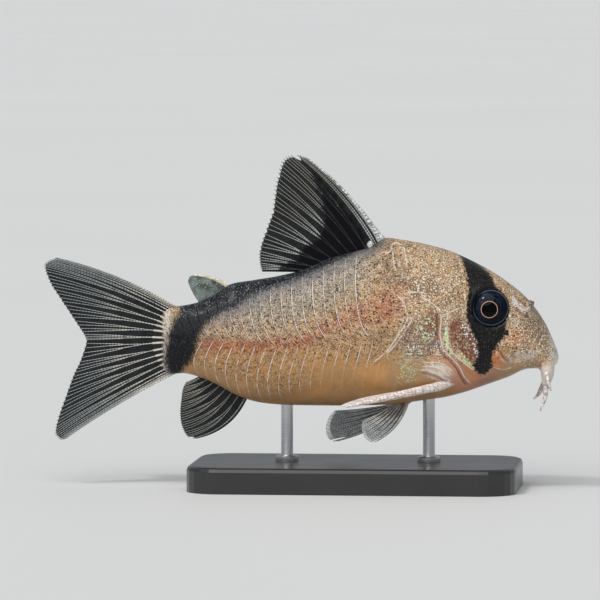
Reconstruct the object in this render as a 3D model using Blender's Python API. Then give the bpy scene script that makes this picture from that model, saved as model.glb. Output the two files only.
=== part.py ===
"""A masked corydoras catfish, life size, as a still model on a plain display stand.

Metres, +Z up. The fish faces +X and its back is up, so the viewer looks along +Y at its right side.
The origin is on the floor, below the middle of the whole model.
Every station, outline and size below is in millimetres and is turned into metres as it is used.
"""

import math
from bisect import bisect_left

import bmesh
import bpy
from mathutils import Matrix, Vector

MM = 0.001

# Gap between two neighbouring pieces
GAP = 0.3

# Stations of the body from the snout to the root of the tail fin:
# place along the fish, height of the back, height of the belly, half width,
# share of the height at which it is widest, roundness of the back, roundness of the belly
STATIONS = (
    (30.00, 15.40, 15.00, 0.30, 0.50, 2.0, 2.0),
    (29.82, 16.10, 14.60, 1.25, 0.48, 2.0, 2.0),
    (29.30, 17.40, 14.15, 1.95, 0.46, 2.0, 2.1),
    (28.45, 19.20, 13.90, 2.60, 0.44, 2.0, 2.2),
    (27.30, 20.95, 14.00, 3.15, 0.42, 2.1, 2.3),
    (26.00, 22.40, 13.85, 3.60, 0.40, 2.2, 2.4),
    (24.20, 23.88, 13.00, 4.10, 0.39, 2.3, 2.5),
    (22.00, 25.30, 12.20, 4.60, 0.38, 2.4, 2.5),
    (19.50, 26.60, 11.32, 5.15, 0.38, 2.3, 2.6),
    (17.00, 27.65, 10.65, 5.70, 0.38, 2.1, 2.7),
    (14.40, 28.33, 10.25, 6.05, 0.39, 1.9, 2.8),
    (11.80, 28.80, 9.86, 6.20, 0.40, 1.8, 2.8),
    (9.80, 28.95, 9.70, 6.12, 0.41, 1.75, 2.8),
    (8.20, 27.95, 9.62, 6.00, 0.43, 1.8, 2.7),
    (6.40, 27.40, 9.57, 5.80, 0.44, 1.85, 2.6),
    (3.50, 26.62, 9.53, 5.40, 0.45, 1.9, 2.5),
    (0.50, 25.30, 9.53, 4.95, 0.46, 1.9, 2.4),
    (-2.60, 24.50, 9.60, 4.45, 0.47, 1.9, 2.3),
    (-5.20, 24.05, 9.92, 3.95, 0.48, 1.9, 2.2),
    (-7.50, 23.55, 10.70, 3.45, 0.49, 1.95, 2.1),
    (-9.60, 22.45, 11.85, 2.95, 0.50, 2.0, 2.1),
    (-11.60, 21.50, 12.68, 2.50, 0.50, 2.0, 2.1),
    (-13.40, 21.05, 13.12, 2.10, 0.50, 2.0, 2.0),
    (-14.80, 20.85, 13.10, 1.75, 0.50, 2.0, 2.0),
    (-15.90, 20.20, 13.55, 1.35, 0.50, 2.0, 2.0),
    (-16.70, 19.00, 14.70, 0.90, 0.50, 2.0, 2.0),
    (-17.20, 17.80, 16.00, 0.50, 0.50, 2.0, 2.0),
)
RING_POINTS = 36

# Where the flesh is parted into head, torso and tail
SHOULDER_X = 15.1
LOIN_X = -4.85

# Bony scutes: two rows down each flank, each plate lapping over the one behind it
SCUTE_PITCH = 1.25
SCUTE_FIRST_X = 10.15
SCUTE_COUNT = 21
SCUTE_LIFT = 0.20
SCUTE_STEP = 0.14
SCUTE_LEAN_UP = 2.3
SCUTE_LEAN_DOWN = 1.1

# Eye, as seen from the side, how far it stands out, and how it turns forward and up
EYE_X, EYE_Z = 22.45, 21.15
EYE_RADIUS = 2.28
EYE_DEPTH = 1.45
EYE_SUNK = 0.85
EYE_YAW, EYE_ROLL = 8.0, 12.0

# Gill cover: thickness of its plate, how proud it stands
COVER_THICK = 0.85
COVER_PROUD = 0.14

# Outline of the gill cover, seen from the side
COVER_OUTLINE = (
    (17.45, 20.1), (16.95, 18.8), (16.95, 17.5), (17.5, 16.3), (18.5, 15.2), (19.5, 14.1),
    (20.6, 13.35), (21.7, 13.8), (22.0, 15.0), (21.6, 16.6), (20.8, 18.1), (19.8, 19.5), (18.6, 20.4),
)

# Fins: thickness of ray and web at the root and at the margin
RAY_THICK = (0.95, 0.42)
WEB_THICK = (0.52, 0.30)

# Display stand
BASE_SIZE = (38.0, 21.0, 3.0)
BASE_X = 6.5
BASE_CORNER = 4.0
BASE_EDGE = 0.5
ROD_RADIUS = 0.7
ROD_PLACES = {"stand_rod_front": 15.0, "stand_rod_rear": -1.5}

# Finishes: colour, roughness, metallic
FINISHES = {
    "skin": ((0.62, 0.46, 0.31), 0.42, 0.0),
    "gill_plate": ((0.60, 0.34, 0.26), 0.35, 0.0),
    "eye": ((0.015, 0.018, 0.03), 0.08, 0.0),
    "barbel": ((0.80, 0.74, 0.68), 0.45, 0.0),
    "fin": ((0.34, 0.35, 0.34), 0.4, 0.0),
    "stand_plate": ((0.02, 0.02, 0.022), 0.35, 0.0),
    "stand_steel": ((0.62, 0.62, 0.63), 0.3, 1.0),
}


def clear_scene():
    """Takes away whatever the scene starts with."""
    for obj in list(bpy.data.objects):
        bpy.data.objects.remove(obj, do_unlink=True)


def smooth_step(low, high, value):
    """0 below low, 1 above high, with an eased rise between."""
    share = min(1.0, max(0.0, (value - low) / (high - low)))
    return share * share * (3 - 2 * share)


def spline(knots, place):
    """A Catmull-Rom curve through the knots, at a place counted in knots."""
    last = len(knots) - 1
    place = min(max(place, 0.0), float(last))
    start = min(int(place), last - 1)
    share = place - start
    before, here = knots[max(start - 1, 0)], knots[start]
    after, beyond = knots[start + 1], knots[min(start + 2, last)]
    return tuple(
        0.5 * (2 * b + (c - a) * share + (2 * a - 5 * b + 4 * c - d) * share**2 + (3 * b - a - 3 * c + d) * share**3)
        for a, b, c, d in zip(before, here, after, beyond)
    )


STEPS_PER_STATION = 24
PLACES = [step / STEPS_PER_STATION for step in range((len(STATIONS) - 1) * STEPS_PER_STATION + 1)]
PLACE_OF_X = [-spline(STATIONS, place)[0] for place in PLACES]


def section(x):
    """The body's (back, belly, half width, widest share, back power, belly power) at x."""
    index = min(max(bisect_left(PLACE_OF_X, -x), 1), len(PLACES) - 1)
    low, high = PLACE_OF_X[index - 1], PLACE_OF_X[index]
    share = min(max((-x - low) / (high - low), 0.0), 1.0)
    return spline(STATIONS, PLACES[index - 1] + share / STEPS_PER_STATION)[1:]


def widest_height(x):
    """The height at which the body is widest at x."""
    back, belly, _, widest, _, _ = section(x)
    return belly + widest * (back - belly)


def flank_y(x, z):
    """The body's half width at x and height z."""
    back, belly, half_width, _, back_power, belly_power = section(x)
    middle = widest_height(x)
    reach, power = (back - middle, back_power) if z > middle else (middle - belly, belly_power)
    share = min(abs(z - middle) / reach, 1.0)
    return half_width * (1 - share**power) ** (1 / power)


def lean(x, height):
    """How far a seam of the body leans along the fish, at a height from -1 at the belly to 1 at the back."""
    back, belly, _, _, _, _ = section(x)
    span = 0.5 * (back - belly) * abs(height)
    chevron = -SCUTE_LEAN_UP * (1 - math.exp(-span / SCUTE_LEAN_UP))
    if height < 0:
        chevron = -SCUTE_LEAN_DOWN * math.sin(math.pi * min(1.0, 0.85 * -height))
    chevron *= smooth_step(15.5, 8.5, x) * smooth_step(-17.0, -11.5, x)
    gill_slope = 3.2 * max(0.0, -height) ** 1.4 if height < 0 else -0.6 * height
    gill_slope *= smooth_step(9.5, 14.5, x) * smooth_step(24.5, 16.5, x)
    return chevron + gill_slope


def scute_edges():
    """Places of the front and the raised rear edge of each scute, along the widest line."""
    edges = []
    for number in range(SCUTE_COUNT):
        front = SCUTE_FIRST_X - number * SCUTE_PITCH
        edges += [(front, 0.0), (front - SCUTE_PITCH + SCUTE_STEP, SCUTE_LIFT)]
    return edges


def scute_cover(x, height):
    """How much of a scute's lift shows: none on the ridge of the back, the side line and the soft belly."""
    if height >= 0:
        return smooth_step(1.0, 0.86, height) * (0.25 + 0.75 * smooth_step(0.0, 0.12, height))
    soft = 0.55 + 0.35 * smooth_step(6.0, -6.0, x)
    return smooth_step(soft + 0.12, soft - 0.08, -height) * (0.25 + 0.75 * smooth_step(0.0, 0.12, -height))


def body_point(x, turn, lift=0.0):
    """A point of the skin in millimetres. Turn runs from the back (0) down the right flank (90) to the belly (180)."""
    height = math.cos(turn)
    x = x + lean(x, height)
    back, belly, half_width, _, back_power, belly_power = section(x)
    middle = widest_height(x)
    reach, power = (back - middle, back_power) if height >= 0 else (middle - belly, belly_power)
    side = math.sin(turn)
    across = math.copysign(abs(side) ** (2 / power), side)
    along = math.copysign(abs(height) ** (2 / power), height)
    return Vector((x, -(half_width + lift) * across, middle + (reach + lift) * along))


def make_object(name, bm, finish, scale=MM):
    """Writes the bmesh, in millimetres, as a named object in metres with its finish."""
    bmesh.ops.recalc_face_normals(bm, faces=bm.faces)
    bm.transform(Matrix.Scale(scale, 4))
    mesh = bpy.data.meshes.new(name)
    bm.to_mesh(mesh)
    bm.free()
    mesh.shade_smooth()
    mesh.set_sharp_from_angle(angle=math.radians(35))
    mesh.materials.append(finish_material(finish))
    obj = bpy.data.objects.new(name, mesh)
    bpy.context.scene.collection.objects.link(obj)
    return obj


def finish_material(name):
    """The Principled material of a finish, made once."""
    if name in bpy.data.materials:
        return bpy.data.materials[name]
    colour, roughness, metallic = FINISHES[name]
    material = bpy.data.materials.new(name)
    material.use_nodes = True
    shader = material.node_tree.nodes["Principled BSDF"]
    shader.inputs["Base Color"].default_value = (*colour, 1.0)
    shader.inputs["Roughness"].default_value = roughness
    shader.inputs["Metallic"].default_value = metallic
    return material


def cap_ring(bm, edges):
    """Closes a ring of edges with a fan of triangles round its middle."""
    face = bmesh.ops.edgeloop_fill(bm, edges=edges)["faces"]
    bmesh.ops.poke(bm, faces=face)


def skin_rings(rings):
    """A closed bmesh drawn ring by ring; each ring is a function from turn to a point."""
    bm = bmesh.new()
    turn = bm.verts.layers.float.new("turn")
    verts = bmesh.ops.create_circle(bm, cap_ends=False, segments=RING_POINTS, radius=1.0)["verts"]
    for vert in verts:
        vert[turn] = math.atan2(vert.co.y, vert.co.x)
    edges = list(bm.edges)
    first_edges = edges
    for number, ring in enumerate(rings):
        if number:
            grown = bmesh.ops.extrude_edge_only(bm, edges=edges)["geom"]
            verts = [item for item in grown if isinstance(item, bmesh.types.BMVert)]
            edges = [edge for edge in {e for v in verts for e in v.link_edges} if all(v in verts for v in edge.verts)]
        for vert in verts:
            vert.co = ring(vert[turn])
    cap_ring(bm, first_edges)
    cap_ring(bm, edges)
    bmesh.ops.triangulate(bm, faces=bm.faces)
    return bm


def plain_ring(x, lift=0.0):
    """A ring of bare skin at x."""
    return lambda turn: body_point(x, turn, lift)


def scute_ring(x, lift):
    """A ring along a scute's edge, raised where plates cover the flank."""
    return lambda turn: body_point(x, turn, lift * scute_cover(x, math.cos(turn)))


def cut(target, tool, operation="DIFFERENCE"):
    """Applies a Boolean of the tool to the target and removes the tool."""
    modifier = target.modifiers.new("cut", "BOOLEAN")
    modifier.object = tool
    modifier.operation = operation
    modifier.solver = "EXACT"
    apply_modifiers(target)
    bpy.data.objects.remove(tool, do_unlink=True)


def join(target, tools):
    """Joins the tools to the target by one Boolean union on a collection, and removes them."""
    group = bpy.data.collections.new("joined")
    for tool in tools:
        group.objects.link(tool)
    modifier = target.modifiers.new("join", "BOOLEAN")
    modifier.operand_type = "COLLECTION"
    modifier.collection = group
    modifier.operation = "UNION"
    modifier.solver = "EXACT"
    apply_modifiers(target)
    for tool in tools:
        bpy.data.objects.remove(tool, do_unlink=True)
    bpy.data.collections.remove(group)


def apply_modifiers(obj):
    """Replaces the object's mesh by its evaluated one, keeping only its largest closed surface."""
    graph = bpy.context.evaluated_depsgraph_get()
    mesh = bpy.data.meshes.new_from_object(obj.evaluated_get(graph))
    obj.modifiers.clear()
    obj.data = mesh
    bm = bmesh.new()
    bm.from_mesh(mesh)
    bmesh.ops.triangulate(bm, faces=bm.faces)
    bmesh.ops.dissolve_degenerate(bm, dist=1e-6, edges=bm.edges)
    waiting, largest = set(bm.verts), set()
    while waiting:
        piece, front = set(), [next(iter(waiting))]
        while front:
            vert = front.pop()
            if vert not in piece:
                piece.add(vert)
                front += [edge.other_vert(vert) for edge in vert.link_edges]
        waiting -= piece
        largest = max(largest, piece, key=len)
    bmesh.ops.delete(bm, geom=[vert for vert in bm.verts if vert not in largest], context="VERTS")
    bm.to_mesh(mesh)
    bm.free()
    mesh.shade_smooth()
    mesh.set_sharp_from_angle(angle=math.radians(35))


def ellipsoid(name, centre, radii, finish, turned=(0.0, 0.0), rings=10, segments=18):
    """A closed ellipsoid; turned gives its yaw and roll in degrees."""
    bm = bmesh.new()
    bmesh.ops.create_uvsphere(bm, u_segments=segments, v_segments=rings, radius=1.0)
    bmesh.ops.rotate(bm, verts=bm.verts, matrix=Matrix.Rotation(math.radians(90), 3, "X"))
    bmesh.ops.scale(bm, verts=bm.verts, vec=radii)
    yaw, roll = (math.radians(angle) for angle in turned)
    bmesh.ops.rotate(bm, verts=bm.verts, matrix=Matrix.Rotation(yaw, 3, "Z") @ Matrix.Rotation(roll, 3, "X"))
    bmesh.ops.translate(bm, verts=bm.verts, vec=centre)
    return make_object(name, bm, finish)


def tapered_tube(name, path, radii, finish, segments=8, steps=6):
    """A closed round tube along a smooth path, with a radius at each of its points and a rounded end."""
    bm = bmesh.new()
    turn = bm.verts.layers.float.new("turn")
    verts = bmesh.ops.create_circle(bm, cap_ends=False, segments=segments, radius=1.0)["verts"]
    for vert in verts:
        vert[turn] = math.atan2(vert.co.y, vert.co.x)
    edges = first_edges = list(bm.edges)
    knots = [(*point, radius) for point, radius in zip(path, radii)]
    places = [(len(knots) - 1) * step / steps for step in range(steps + 1)]
    side = Vector((1.0, 0.3, 0.0))
    for number, place in enumerate(places):
        x, y, z, radius = spline(knots, place)
        ahead = Vector(spline(knots, place + 0.05)[:3]) - Vector(spline(knots, place - 0.05)[:3])
        side = (side - side.project(ahead)).normalized()
        across = ahead.normalized().cross(side)
        if number:
            grown = bmesh.ops.extrude_edge_only(bm, edges=edges)["geom"]
            verts = [item for item in grown if isinstance(item, bmesh.types.BMVert)]
            edges = [edge for edge in {e for v in verts for e in v.link_edges} if all(v in verts for v in edge.verts)]
        for vert in verts:
            angle = vert[turn]
            vert.co = Vector((x, y, z)) + (side * math.cos(angle) + across * math.sin(angle)) * radius
    cap_ring(bm, first_edges)
    cap_ring(bm, edges)
    bmesh.ops.triangulate(bm, faces=bm.faces)
    return make_object(name, bm, finish)


def prism(name, outline, y_near, y_far, grow=0.0):
    """A closed outline in the side view, drawn through its points and pushed from y_near to y_far."""
    knots = list(outline)
    count = len(knots)
    closed = [knots[-1], *knots, knots[0], knots[1]]
    centre = Vector([sum(values) / count for values in zip(*knots)])
    bm = bmesh.new()
    verts = []
    per_knot = 2
    for step in range(count * per_knot):
        point = Vector(spline(closed, 1 + step / per_knot))
        point += (point - centre).normalized() * grow
        verts.append(bm.verts.new((point.x, y_near, point.y)))
    face = bm.faces.new(verts)
    grown = bmesh.ops.extrude_face_region(bm, geom=[face], use_keep_orig=True)["geom"]
    moved = [item for item in grown if isinstance(item, bmesh.types.BMVert)]
    bmesh.ops.translate(bm, verts=moved, vec=(0.0, y_far - y_near, 0.0))
    bmesh.ops.triangulate(bm, faces=bm.faces)
    return make_object(name, bm, "gill_plate")


def rings_between(start, end, count):
    """Plain rings at even steps from start to end."""
    return [plain_ring(start + (end - start) * step / count) for step in range(count + 1)]


def body_nodes():
    """Head, torso and tail, parted by thin gaps that lean as the plates do."""
    snout_places = (0, 0.5, 1, 1.5, 2, 2.5, 3, 3.5, 4, 4.5, 5, 5.6, 6.3, 7, 7.7, 8.5)
    snout = [plain_ring(spline(STATIONS, place)[0]) for place in snout_places]
    start_x = spline(STATIONS, snout_places[-1])[0]
    neck = rings_between(start_x, SHOULDER_X + GAP / 2, 5)[1:]
    head = make_object("head", skin_rings(snout + neck), "skin")

    edges = scute_edges()
    front = rings_between(SHOULDER_X - GAP / 2, SCUTE_FIRST_X, 6)[:-1]
    torso_scutes = [scute_ring(x, lift) for x, lift in edges if x > LOIN_X + GAP / 2]
    torso_end = scute_ring(LOIN_X + GAP / 2, 0.0)
    make_object("torso", skin_rings([*front, *torso_scutes, torso_end]), "skin")

    tail_scutes = [scute_ring(x, lift) for x, lift in edges if x < LOIN_X - GAP / 2]
    last_x = edges[-1][0]
    root = [plain_ring(spline(STATIONS, place)[0]) for place in (24, 24.5, 25, 25.5, 26)]
    root_start = spline(STATIONS, 24)[0]
    blend = [plain_ring(last_x - 0.15)] if last_x - 0.15 > root_start + 0.2 else []
    make_object("tail", skin_rings([scute_ring(LOIN_X - GAP / 2, 0.0), *tail_scutes, *blend, *root]), "skin")
    return head


def make_eyes(head):
    """Each eye in a socket cut to clear it."""
    depth = flank_y(EYE_X, EYE_Z) - EYE_SUNK
    for side, letter in ((-1, "R"), (1, "L")):
        centre = (EYE_X, side * depth, EYE_Z)
        turned = (-EYE_YAW * side, EYE_ROLL * side)
        socket = [EYE_RADIUS + GAP, EYE_DEPTH + GAP, EYE_RADIUS + GAP]
        cut(head, ellipsoid("socket", centre, socket, "skin", turned))
        ellipsoid(f"eye_{letter}", centre, (EYE_RADIUS, EYE_DEPTH, EYE_RADIUS), "eye", turned)


def flank_shell(name, lift):
    """The stretch of body round the gill covers, grown or shrunk by lift."""
    return make_object(name, skin_rings([plain_ring(x / 2, lift) for x in range(46, 29, -1)]), "skin")


def make_gill_covers(head):
    """Each gill cover is a plate let into the cheek, standing a little proud of it."""
    for side, letter in ((-1, "R"), (1, "L")):
        plate = prism(f"gill_cover_{letter}", COVER_OUTLINE, side * 1.0, side * 9.0)
        cut(plate, flank_shell("outer", COVER_PROUD), "INTERSECT")
        cut(plate, flank_shell("inner", -COVER_THICK))
        pocket = prism("pocket", COVER_OUTLINE, side * 1.0, side * 9.0, GAP)
        cut(pocket, flank_shell("inner", -COVER_THICK - GAP))
        cut(head, pocket)


def make_mouth(head):
    """Lips, the fleshy corners that carry the barbels, nostrils, and the line of the mouth."""
    pieces = [
        ellipsoid("upper_lip", (29.2, 0.0, 14.95), (0.74, 1.55, 0.72), "skin", rings=8, segments=14),
        ellipsoid("lower_lip", (28.35, 0.0, 13.95), (0.55, 1.45, 0.42), "skin", rings=8, segments=14),
    ]
    for side in (-1, 1):
        lobe = [(28.55, side * 1.45, 15.6), (28.7, side * 1.75, 14.3), (28.74, side * 1.9, 13.2), (28.62, side * 1.95, 12.4)]
        pieces.append(tapered_tube("mouth_corner", lobe, (0.75, 0.76, 0.64, 0.48), "skin", 10, 5))
        tube = [(26.0, side * 1.25, 20.0), (26.4, side * 1.5, 20.95), (26.68, side * 1.7, 21.62)]
        pieces.append(tapered_tube("nostril", tube, (0.66, 0.5, 0.36), "skin", 10, 3))
    join(head, pieces)
    for side in (-1, 1):
        hole = [(26.47, side * 1.55, 21.1), (26.75, side * 1.76, 21.8)]
        cut(head, tapered_tube("nostril_hole", hole, (0.1, 0.2), "skin", 7, 1))
        pit = (25.6, side * (flank_y(25.6, 21.45) + 0.05), 21.45)
        cut(head, ellipsoid("rear_nostril", pit, (0.42, 0.35, 0.26), "skin", rings=6, segments=10))
    slit = []
    for share in range(-4, 5):
        slit.append((28.75 - 0.06 * share * share, 0.32 * share, 13.55 + 0.02 * share * share))
    cut(head, tapered_tube("mouth_line", slit, [0.22] * len(slit), "skin", 6, 8))


def make_barbels():
    """Two feelers at each corner of the mouth, as they hang in the photo's pose."""
    paths = {
        "barbel_upper_R": ((28.8, -2.82, 13.2), (29.0, -3.15, 12.6), (29.3, -3.2, 11.65)),
        "barbel_lower_R": ((28.66, -1.98, 12.06), (28.6, -2.1, 10.8), (28.02, -2.3, 9.25)),
        "barbel_upper_L": ((28.6, 2.82, 13.2), (28.1, 3.1, 12.2), (27.4, 3.15, 10.85)),
        "barbel_lower_L": ((28.55, 1.98, 12.06), (27.9, 2.1, 11.2), (27.0, 2.25, 10.25)),
    }
    for name, path in paths.items():
        tapered_tube(name, path, (0.32, 0.27, 0.10), "barbel", 8, 7)


class RayFin:
    """A fin as one closed sheet whose rays are raised on both faces. Outlines are in the fin's own plane."""

    def __init__(self, name, root, margin, rays, bows, origin=(0, 0, 0), along=(1, 0, 0), up=(0, 0, 1), **more):
        self.name = name
        self.root = root
        self.margin = margin
        self.rays = rays
        self.bows = bows
        self.origin = Vector(origin)
        self.along = Vector(along).normalized()
        self.up = Vector(up).normalized()
        self.normal = self.along.cross(self.up).normalized()
        self.rows = more.get("rows", 7)
        self.spine = more.get("spine", 0.0)
        self.ray_thick = more.get("ray_thick", RAY_THICK)
        self.web_thick = more.get("web_thick", WEB_THICK)
        self.notch = more.get("notch", 0.06)

    def place(self, across, out):
        """A point of the fin's middle plane: across runs over the rays, out runs from root to margin."""
        root = Vector(spline(self.root, across * (len(self.root) - 1)))
        tip = Vector(spline(self.margin, across * (len(self.margin) - 1)))
        chord = tip - root
        bow = self.bows[0] + (self.bows[1] - self.bows[0]) * across
        bulge = Vector((-chord.y, chord.x)) * bow * 4 * out * (1 - out)
        flat = root + chord * out + bulge
        return self.origin + self.along * flat.x + self.up * flat.y

    def columns(self):
        """Each column across the fin: its ray, its place beside that ray, and how far out it reaches."""
        found = [(0, -0.5, "edge")]
        for ray in range(self.rays):
            found += [(ray, -0.22, "twig"), (ray, 0.0, "fork"), (ray, 0.22, "twig")]
            found.append((ray, 0.5, "web" if ray < self.rays - 1 else "edge"))
        return found

    def half_thickness(self, kind, ray, out):
        """Half the thickness of a column at a share of its length."""
        ridge = self.ray_thick[0] + (self.ray_thick[1] - self.ray_thick[0]) * out
        web = self.web_thick[0] + (self.web_thick[1] - self.web_thick[0]) * out
        if self.spine and ray == 0 and kind != "web":
            ridge += self.spine * (1 - out)
        if kind == "twig":
            return ridge / 2
        if kind == "fork":
            return (ridge + (web - ridge) * smooth_step(0.3, 0.6, out)) / 2
        return web / 2

    def build(self, finish="fin"):
        """Draws the sheet as a grid, lifts its rays and thickens it alike on both faces."""
        columns = self.columns()
        bm = bmesh.new()
        bmesh.ops.create_grid(bm, x_segments=len(columns) - 1, y_segments=self.rows, size=0.5)
        half = bm.verts.layers.float.new("half")
        for vert in bm.verts:
            number = round((vert.co.x + 0.5) * (len(columns) - 1))
            out = vert.co.y + 0.5
            ray, beside, kind = columns[number]
            spread = 0.35 + 0.65 * smooth_step(0.15, 0.8, out) if kind == "twig" else 1.0
            across = (ray + 0.5 + beside * spread) / self.rays
            reach = {"twig": 1.0, "fork": 1.0 - 0.6 * self.notch, "web": 1.0 - self.notch, "edge": 0.99}[kind]
            vert[half] = self.half_thickness(kind, ray, out)
            vert.co = self.place(across, out * reach)
        bmesh.ops.triangulate(bm, faces=bm.faces, quad_method="FIXED")
        faces = list(bm.faces)
        near = list(bm.verts)
        grown = bmesh.ops.extrude_face_region(bm, geom=faces, use_keep_orig=True)["geom"]
        far = [item for item in grown if isinstance(item, bmesh.types.BMVert)]
        for verts, sign in ((near, -1), (far, 1)):
            for vert in verts:
                vert.co += self.normal * sign * vert[half]
        bmesh.ops.triangulate(bm, faces=bm.faces)
        return make_object(self.name, bm, finish)


def back_line(x):
    """The height of a fin's root along the back."""
    return section(x)[0] + GAP


def belly_line(x):
    """The height of a fin's root along the belly."""
    return section(x)[1] - GAP


def make_median_fins():
    """The fins in the fish's own middle plane."""
    dorsal_root = [(x, back_line(x)) for x in (9.6, 8.4, 7.2, 6.0, 4.8, 3.6, 2.4, 1.2, 0.1)]
    dorsal_margin = [
        (0.9, 38.25), (-0.5, 38.6), (-1.9, 38.2), (-2.6, 36.4), (-3.0, 34.3),
        (-3.3, 32.0), (-4.1, 29.7), (-4.8, 27.6), (-4.8, 26.1), (-4.5, 25.0),
    ]
    RayFin("dorsal_fin", dorsal_root, dorsal_margin, 9, (-0.075, 0.0), rows=8, spine=0.35).build()

    adipose_root = [(x, back_line(x)) for x in (-8.1, -9.3, -10.5, -11.7)]
    adipose_margin = [(-12.3, 24.75), (-12.85, 24.5), (-13.1, 23.8), (-12.75, 22.9), (-12.2, 21.9)]
    RayFin("adipose_fin", adipose_root, adipose_margin, 3, (-0.12, 0.0), rows=4, spine=0.3, notch=0.0).build()

    anal_root = [(x, belly_line(x)) for x in (-6.1, -7.5, -8.9, -10.3, -11.6)]
    anal_margin = [(-12.2, 5.45), (-13.3, 5.75), (-13.95, 7.1), (-14.1, 8.6), (-13.95, 10.1), (-13.75, 11.3), (-13.3, 12.1)]
    RayFin("anal_fin", anal_root, anal_margin, 7, (0.13, 0.02), rows=6).build()

    upper_root = [(-14.75, 21.3), (-15.9, 20.75), (-16.75, 19.6), (-17.3, 18.5), (-17.62, 17.15)]
    upper_margin = [
        (-28.4, 26.55), (-29.4, 26.2), (-29.97, 25.5), (-29.3, 23.6), (-28.0, 21.6), (-26.6, 19.5), (-25.4, 17.7), (-25.0, 17.05),
    ]
    RayFin("caudal_fin_upper", upper_root, upper_margin, 8, (-0.042, 0.0), rows=8).build()

    lower_root = [(-14.75, 12.7), (-15.9, 13.0), (-16.75, 14.1), (-17.3, 15.3), (-17.62, 16.85)]
    lower_margin = [
        (-27.4, 5.35), (-28.2, 5.25), (-28.75, 6.1), (-28.3, 8.0), (-27.4, 10.5), (-26.6, 12.7), (-25.7, 14.6), (-25.05, 16.5),
    ]
    RayFin("caudal_fin_lower", lower_root, lower_margin, 8, (-0.02, 0.0), rows=8).build()


def belly_height(x, y):
    """The height of the underside at x, a distance y off the middle."""
    back, belly, half_width, _, _, power = section(x)
    middle = widest_height(x)
    return middle - (middle - belly) * (1 - min(abs(y) / half_width, 1.0) ** power) ** (1 / power)


def make_pelvic_fins():
    """The right fin flares towards the viewer, and the left one is swept back."""
    root_x, root_y, root_sink = 12.6, 2.1, 0.16
    root_z = belly_height(root_x - 1, root_y) - GAP - root_sink
    right_splay, left_splay = math.radians(44), math.radians(22)
    RayFin(
        "pelvic_fin_R",
        [(0.0, 0.0), (0.7, 0.0), (1.4, 0.0), (2.1, 0.0)],
        [(3.2, 5.2), (3.9, 5.2), (4.5, 4.7), (4.9, 3.9), (5.1, 3.0), (5.1, 2.1)],
        6,
        (0.1, 0.02),
        origin=(root_x, -root_y, root_z),
        along=(-1, 0, 0),
        up=(0, -math.sin(right_splay), -math.cos(right_splay)),
        rows=6,
    ).build()
    RayFin(
        "pelvic_fin_L",
        [(0.3, 0.0), (1.0, 0.0), (1.7, 0.0), (2.4, 0.0)],
        [(8.9, 5.0), (9.6, 4.6), (9.9, 3.8), (9.9, 2.8), (9.5, 1.7), (8.8, 0.8)],
        6,
        (0.07, 0.02),
        origin=(root_x, root_y, root_z),
        along=(-1, 0, 0),
        up=(0, math.sin(left_splay), -math.cos(left_splay)),
        rows=6,
    ).build()


def make_pectoral_fins():
    """Each pectoral fin is a nearly level blade, folded back behind a stout spine whose root turns in to the flank."""
    root_x, root_z, flare, drop, tilt = 16.9, 12.15, math.radians(17), 0.2, math.radians(12)
    for side, letter in ((-1, "R"), (1, "L")):
        flank = flank_y(root_x, root_z)
        origin = Vector((root_x - 1.2, side * (flank + 1.3), root_z - 0.1))
        back = Vector((-math.cos(flare), side * math.sin(flare), -drop)).normalized()
        fin = RayFin(
            f"pectoral_fin_{letter}",
            [(-0.3, -0.2), (0.0, 0.0), (0.4, 0.2), (0.8, 0.4)],
            [(9.5, 0.1), (10.9, 0.6), (10.7, 1.2), (9.8, 1.8), (8.4, 2.2), (6.8, 2.1)],
            4,
            (0.0, 0.04),
            origin=origin,
            along=back,
            up=(0.0, -side * math.cos(tilt), math.sin(tilt)),
            rows=7,
            ray_thick=(0.8, 0.4),
            web_thick=(0.55, 0.3),
        ).build()
        inward = Vector((root_x, side * (flank + GAP + 0.2), root_z))
        turned = Vector((root_x - 0.45, side * (flank + 0.95), root_z - 0.1))
        spine = [inward, turned, *(origin + back * length for length in (0.3, 3.6, 6.9, 10.2))]
        join(fin, [tapered_tube("spine", spine, (0.42, 0.5, 0.52, 0.46, 0.36, 0.2), "fin", 10, 15)])


def make_stand():
    """A flat base with rounded corners, and two short rods up to the belly."""
    length, depth, height = BASE_SIZE
    bm = bmesh.new()
    bmesh.ops.create_cube(bm, size=1.0)
    bmesh.ops.scale(bm, verts=bm.verts, vec=(length, depth, height))
    bmesh.ops.translate(bm, verts=bm.verts, vec=(BASE_X, 0.0, height / 2))
    uprights = [edge for edge in bm.edges if abs(edge.verts[0].co.z - edge.verts[1].co.z) > height / 2]
    bmesh.ops.bevel(
        bm, geom=uprights, offset=BASE_CORNER, offset_type="OFFSET", segments=6, profile=0.5, affect="EDGES", material=-1
    )
    rim = [edge for edge in bm.edges if all(vert.co.z > height - 0.01 for vert in edge.verts)]
    bmesh.ops.bevel(bm, geom=rim, offset=BASE_EDGE, offset_type="OFFSET", segments=2, profile=0.5, affect="EDGES", material=-1)
    make_object("stand_base", bm, "stand_plate")
    for name, x in ROD_PLACES.items():
        low, high = height + GAP, belly_line(x)
        bm = bmesh.new()
        bmesh.ops.create_cone(
            bm, cap_ends=True, segments=16, radius1=ROD_RADIUS, radius2=ROD_RADIUS, depth=high - low,
            matrix=Matrix.Translation((x, 0.0, (low + high) / 2)),
        )
        make_object(name, bm, "stand_steel")


def main():
    """Builds every piece."""
    clear_scene()
    head = body_nodes()
    make_gill_covers(head)
    make_eyes(head)
    make_mouth(head)
    make_barbels()
    make_median_fins()
    make_pelvic_fins()
    make_pectoral_fins()
    make_stand()


main()
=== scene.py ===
"""Looks of a masked corydoras catfish, a life-size still model on a plain display stand.

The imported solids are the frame. One skin stands for the flesh of head, torso, tail and gill covers, and
eyes, feelers, fins and stand are pieces of their own. Sizes are in millimetres until a mesh is finished.
"""

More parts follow.
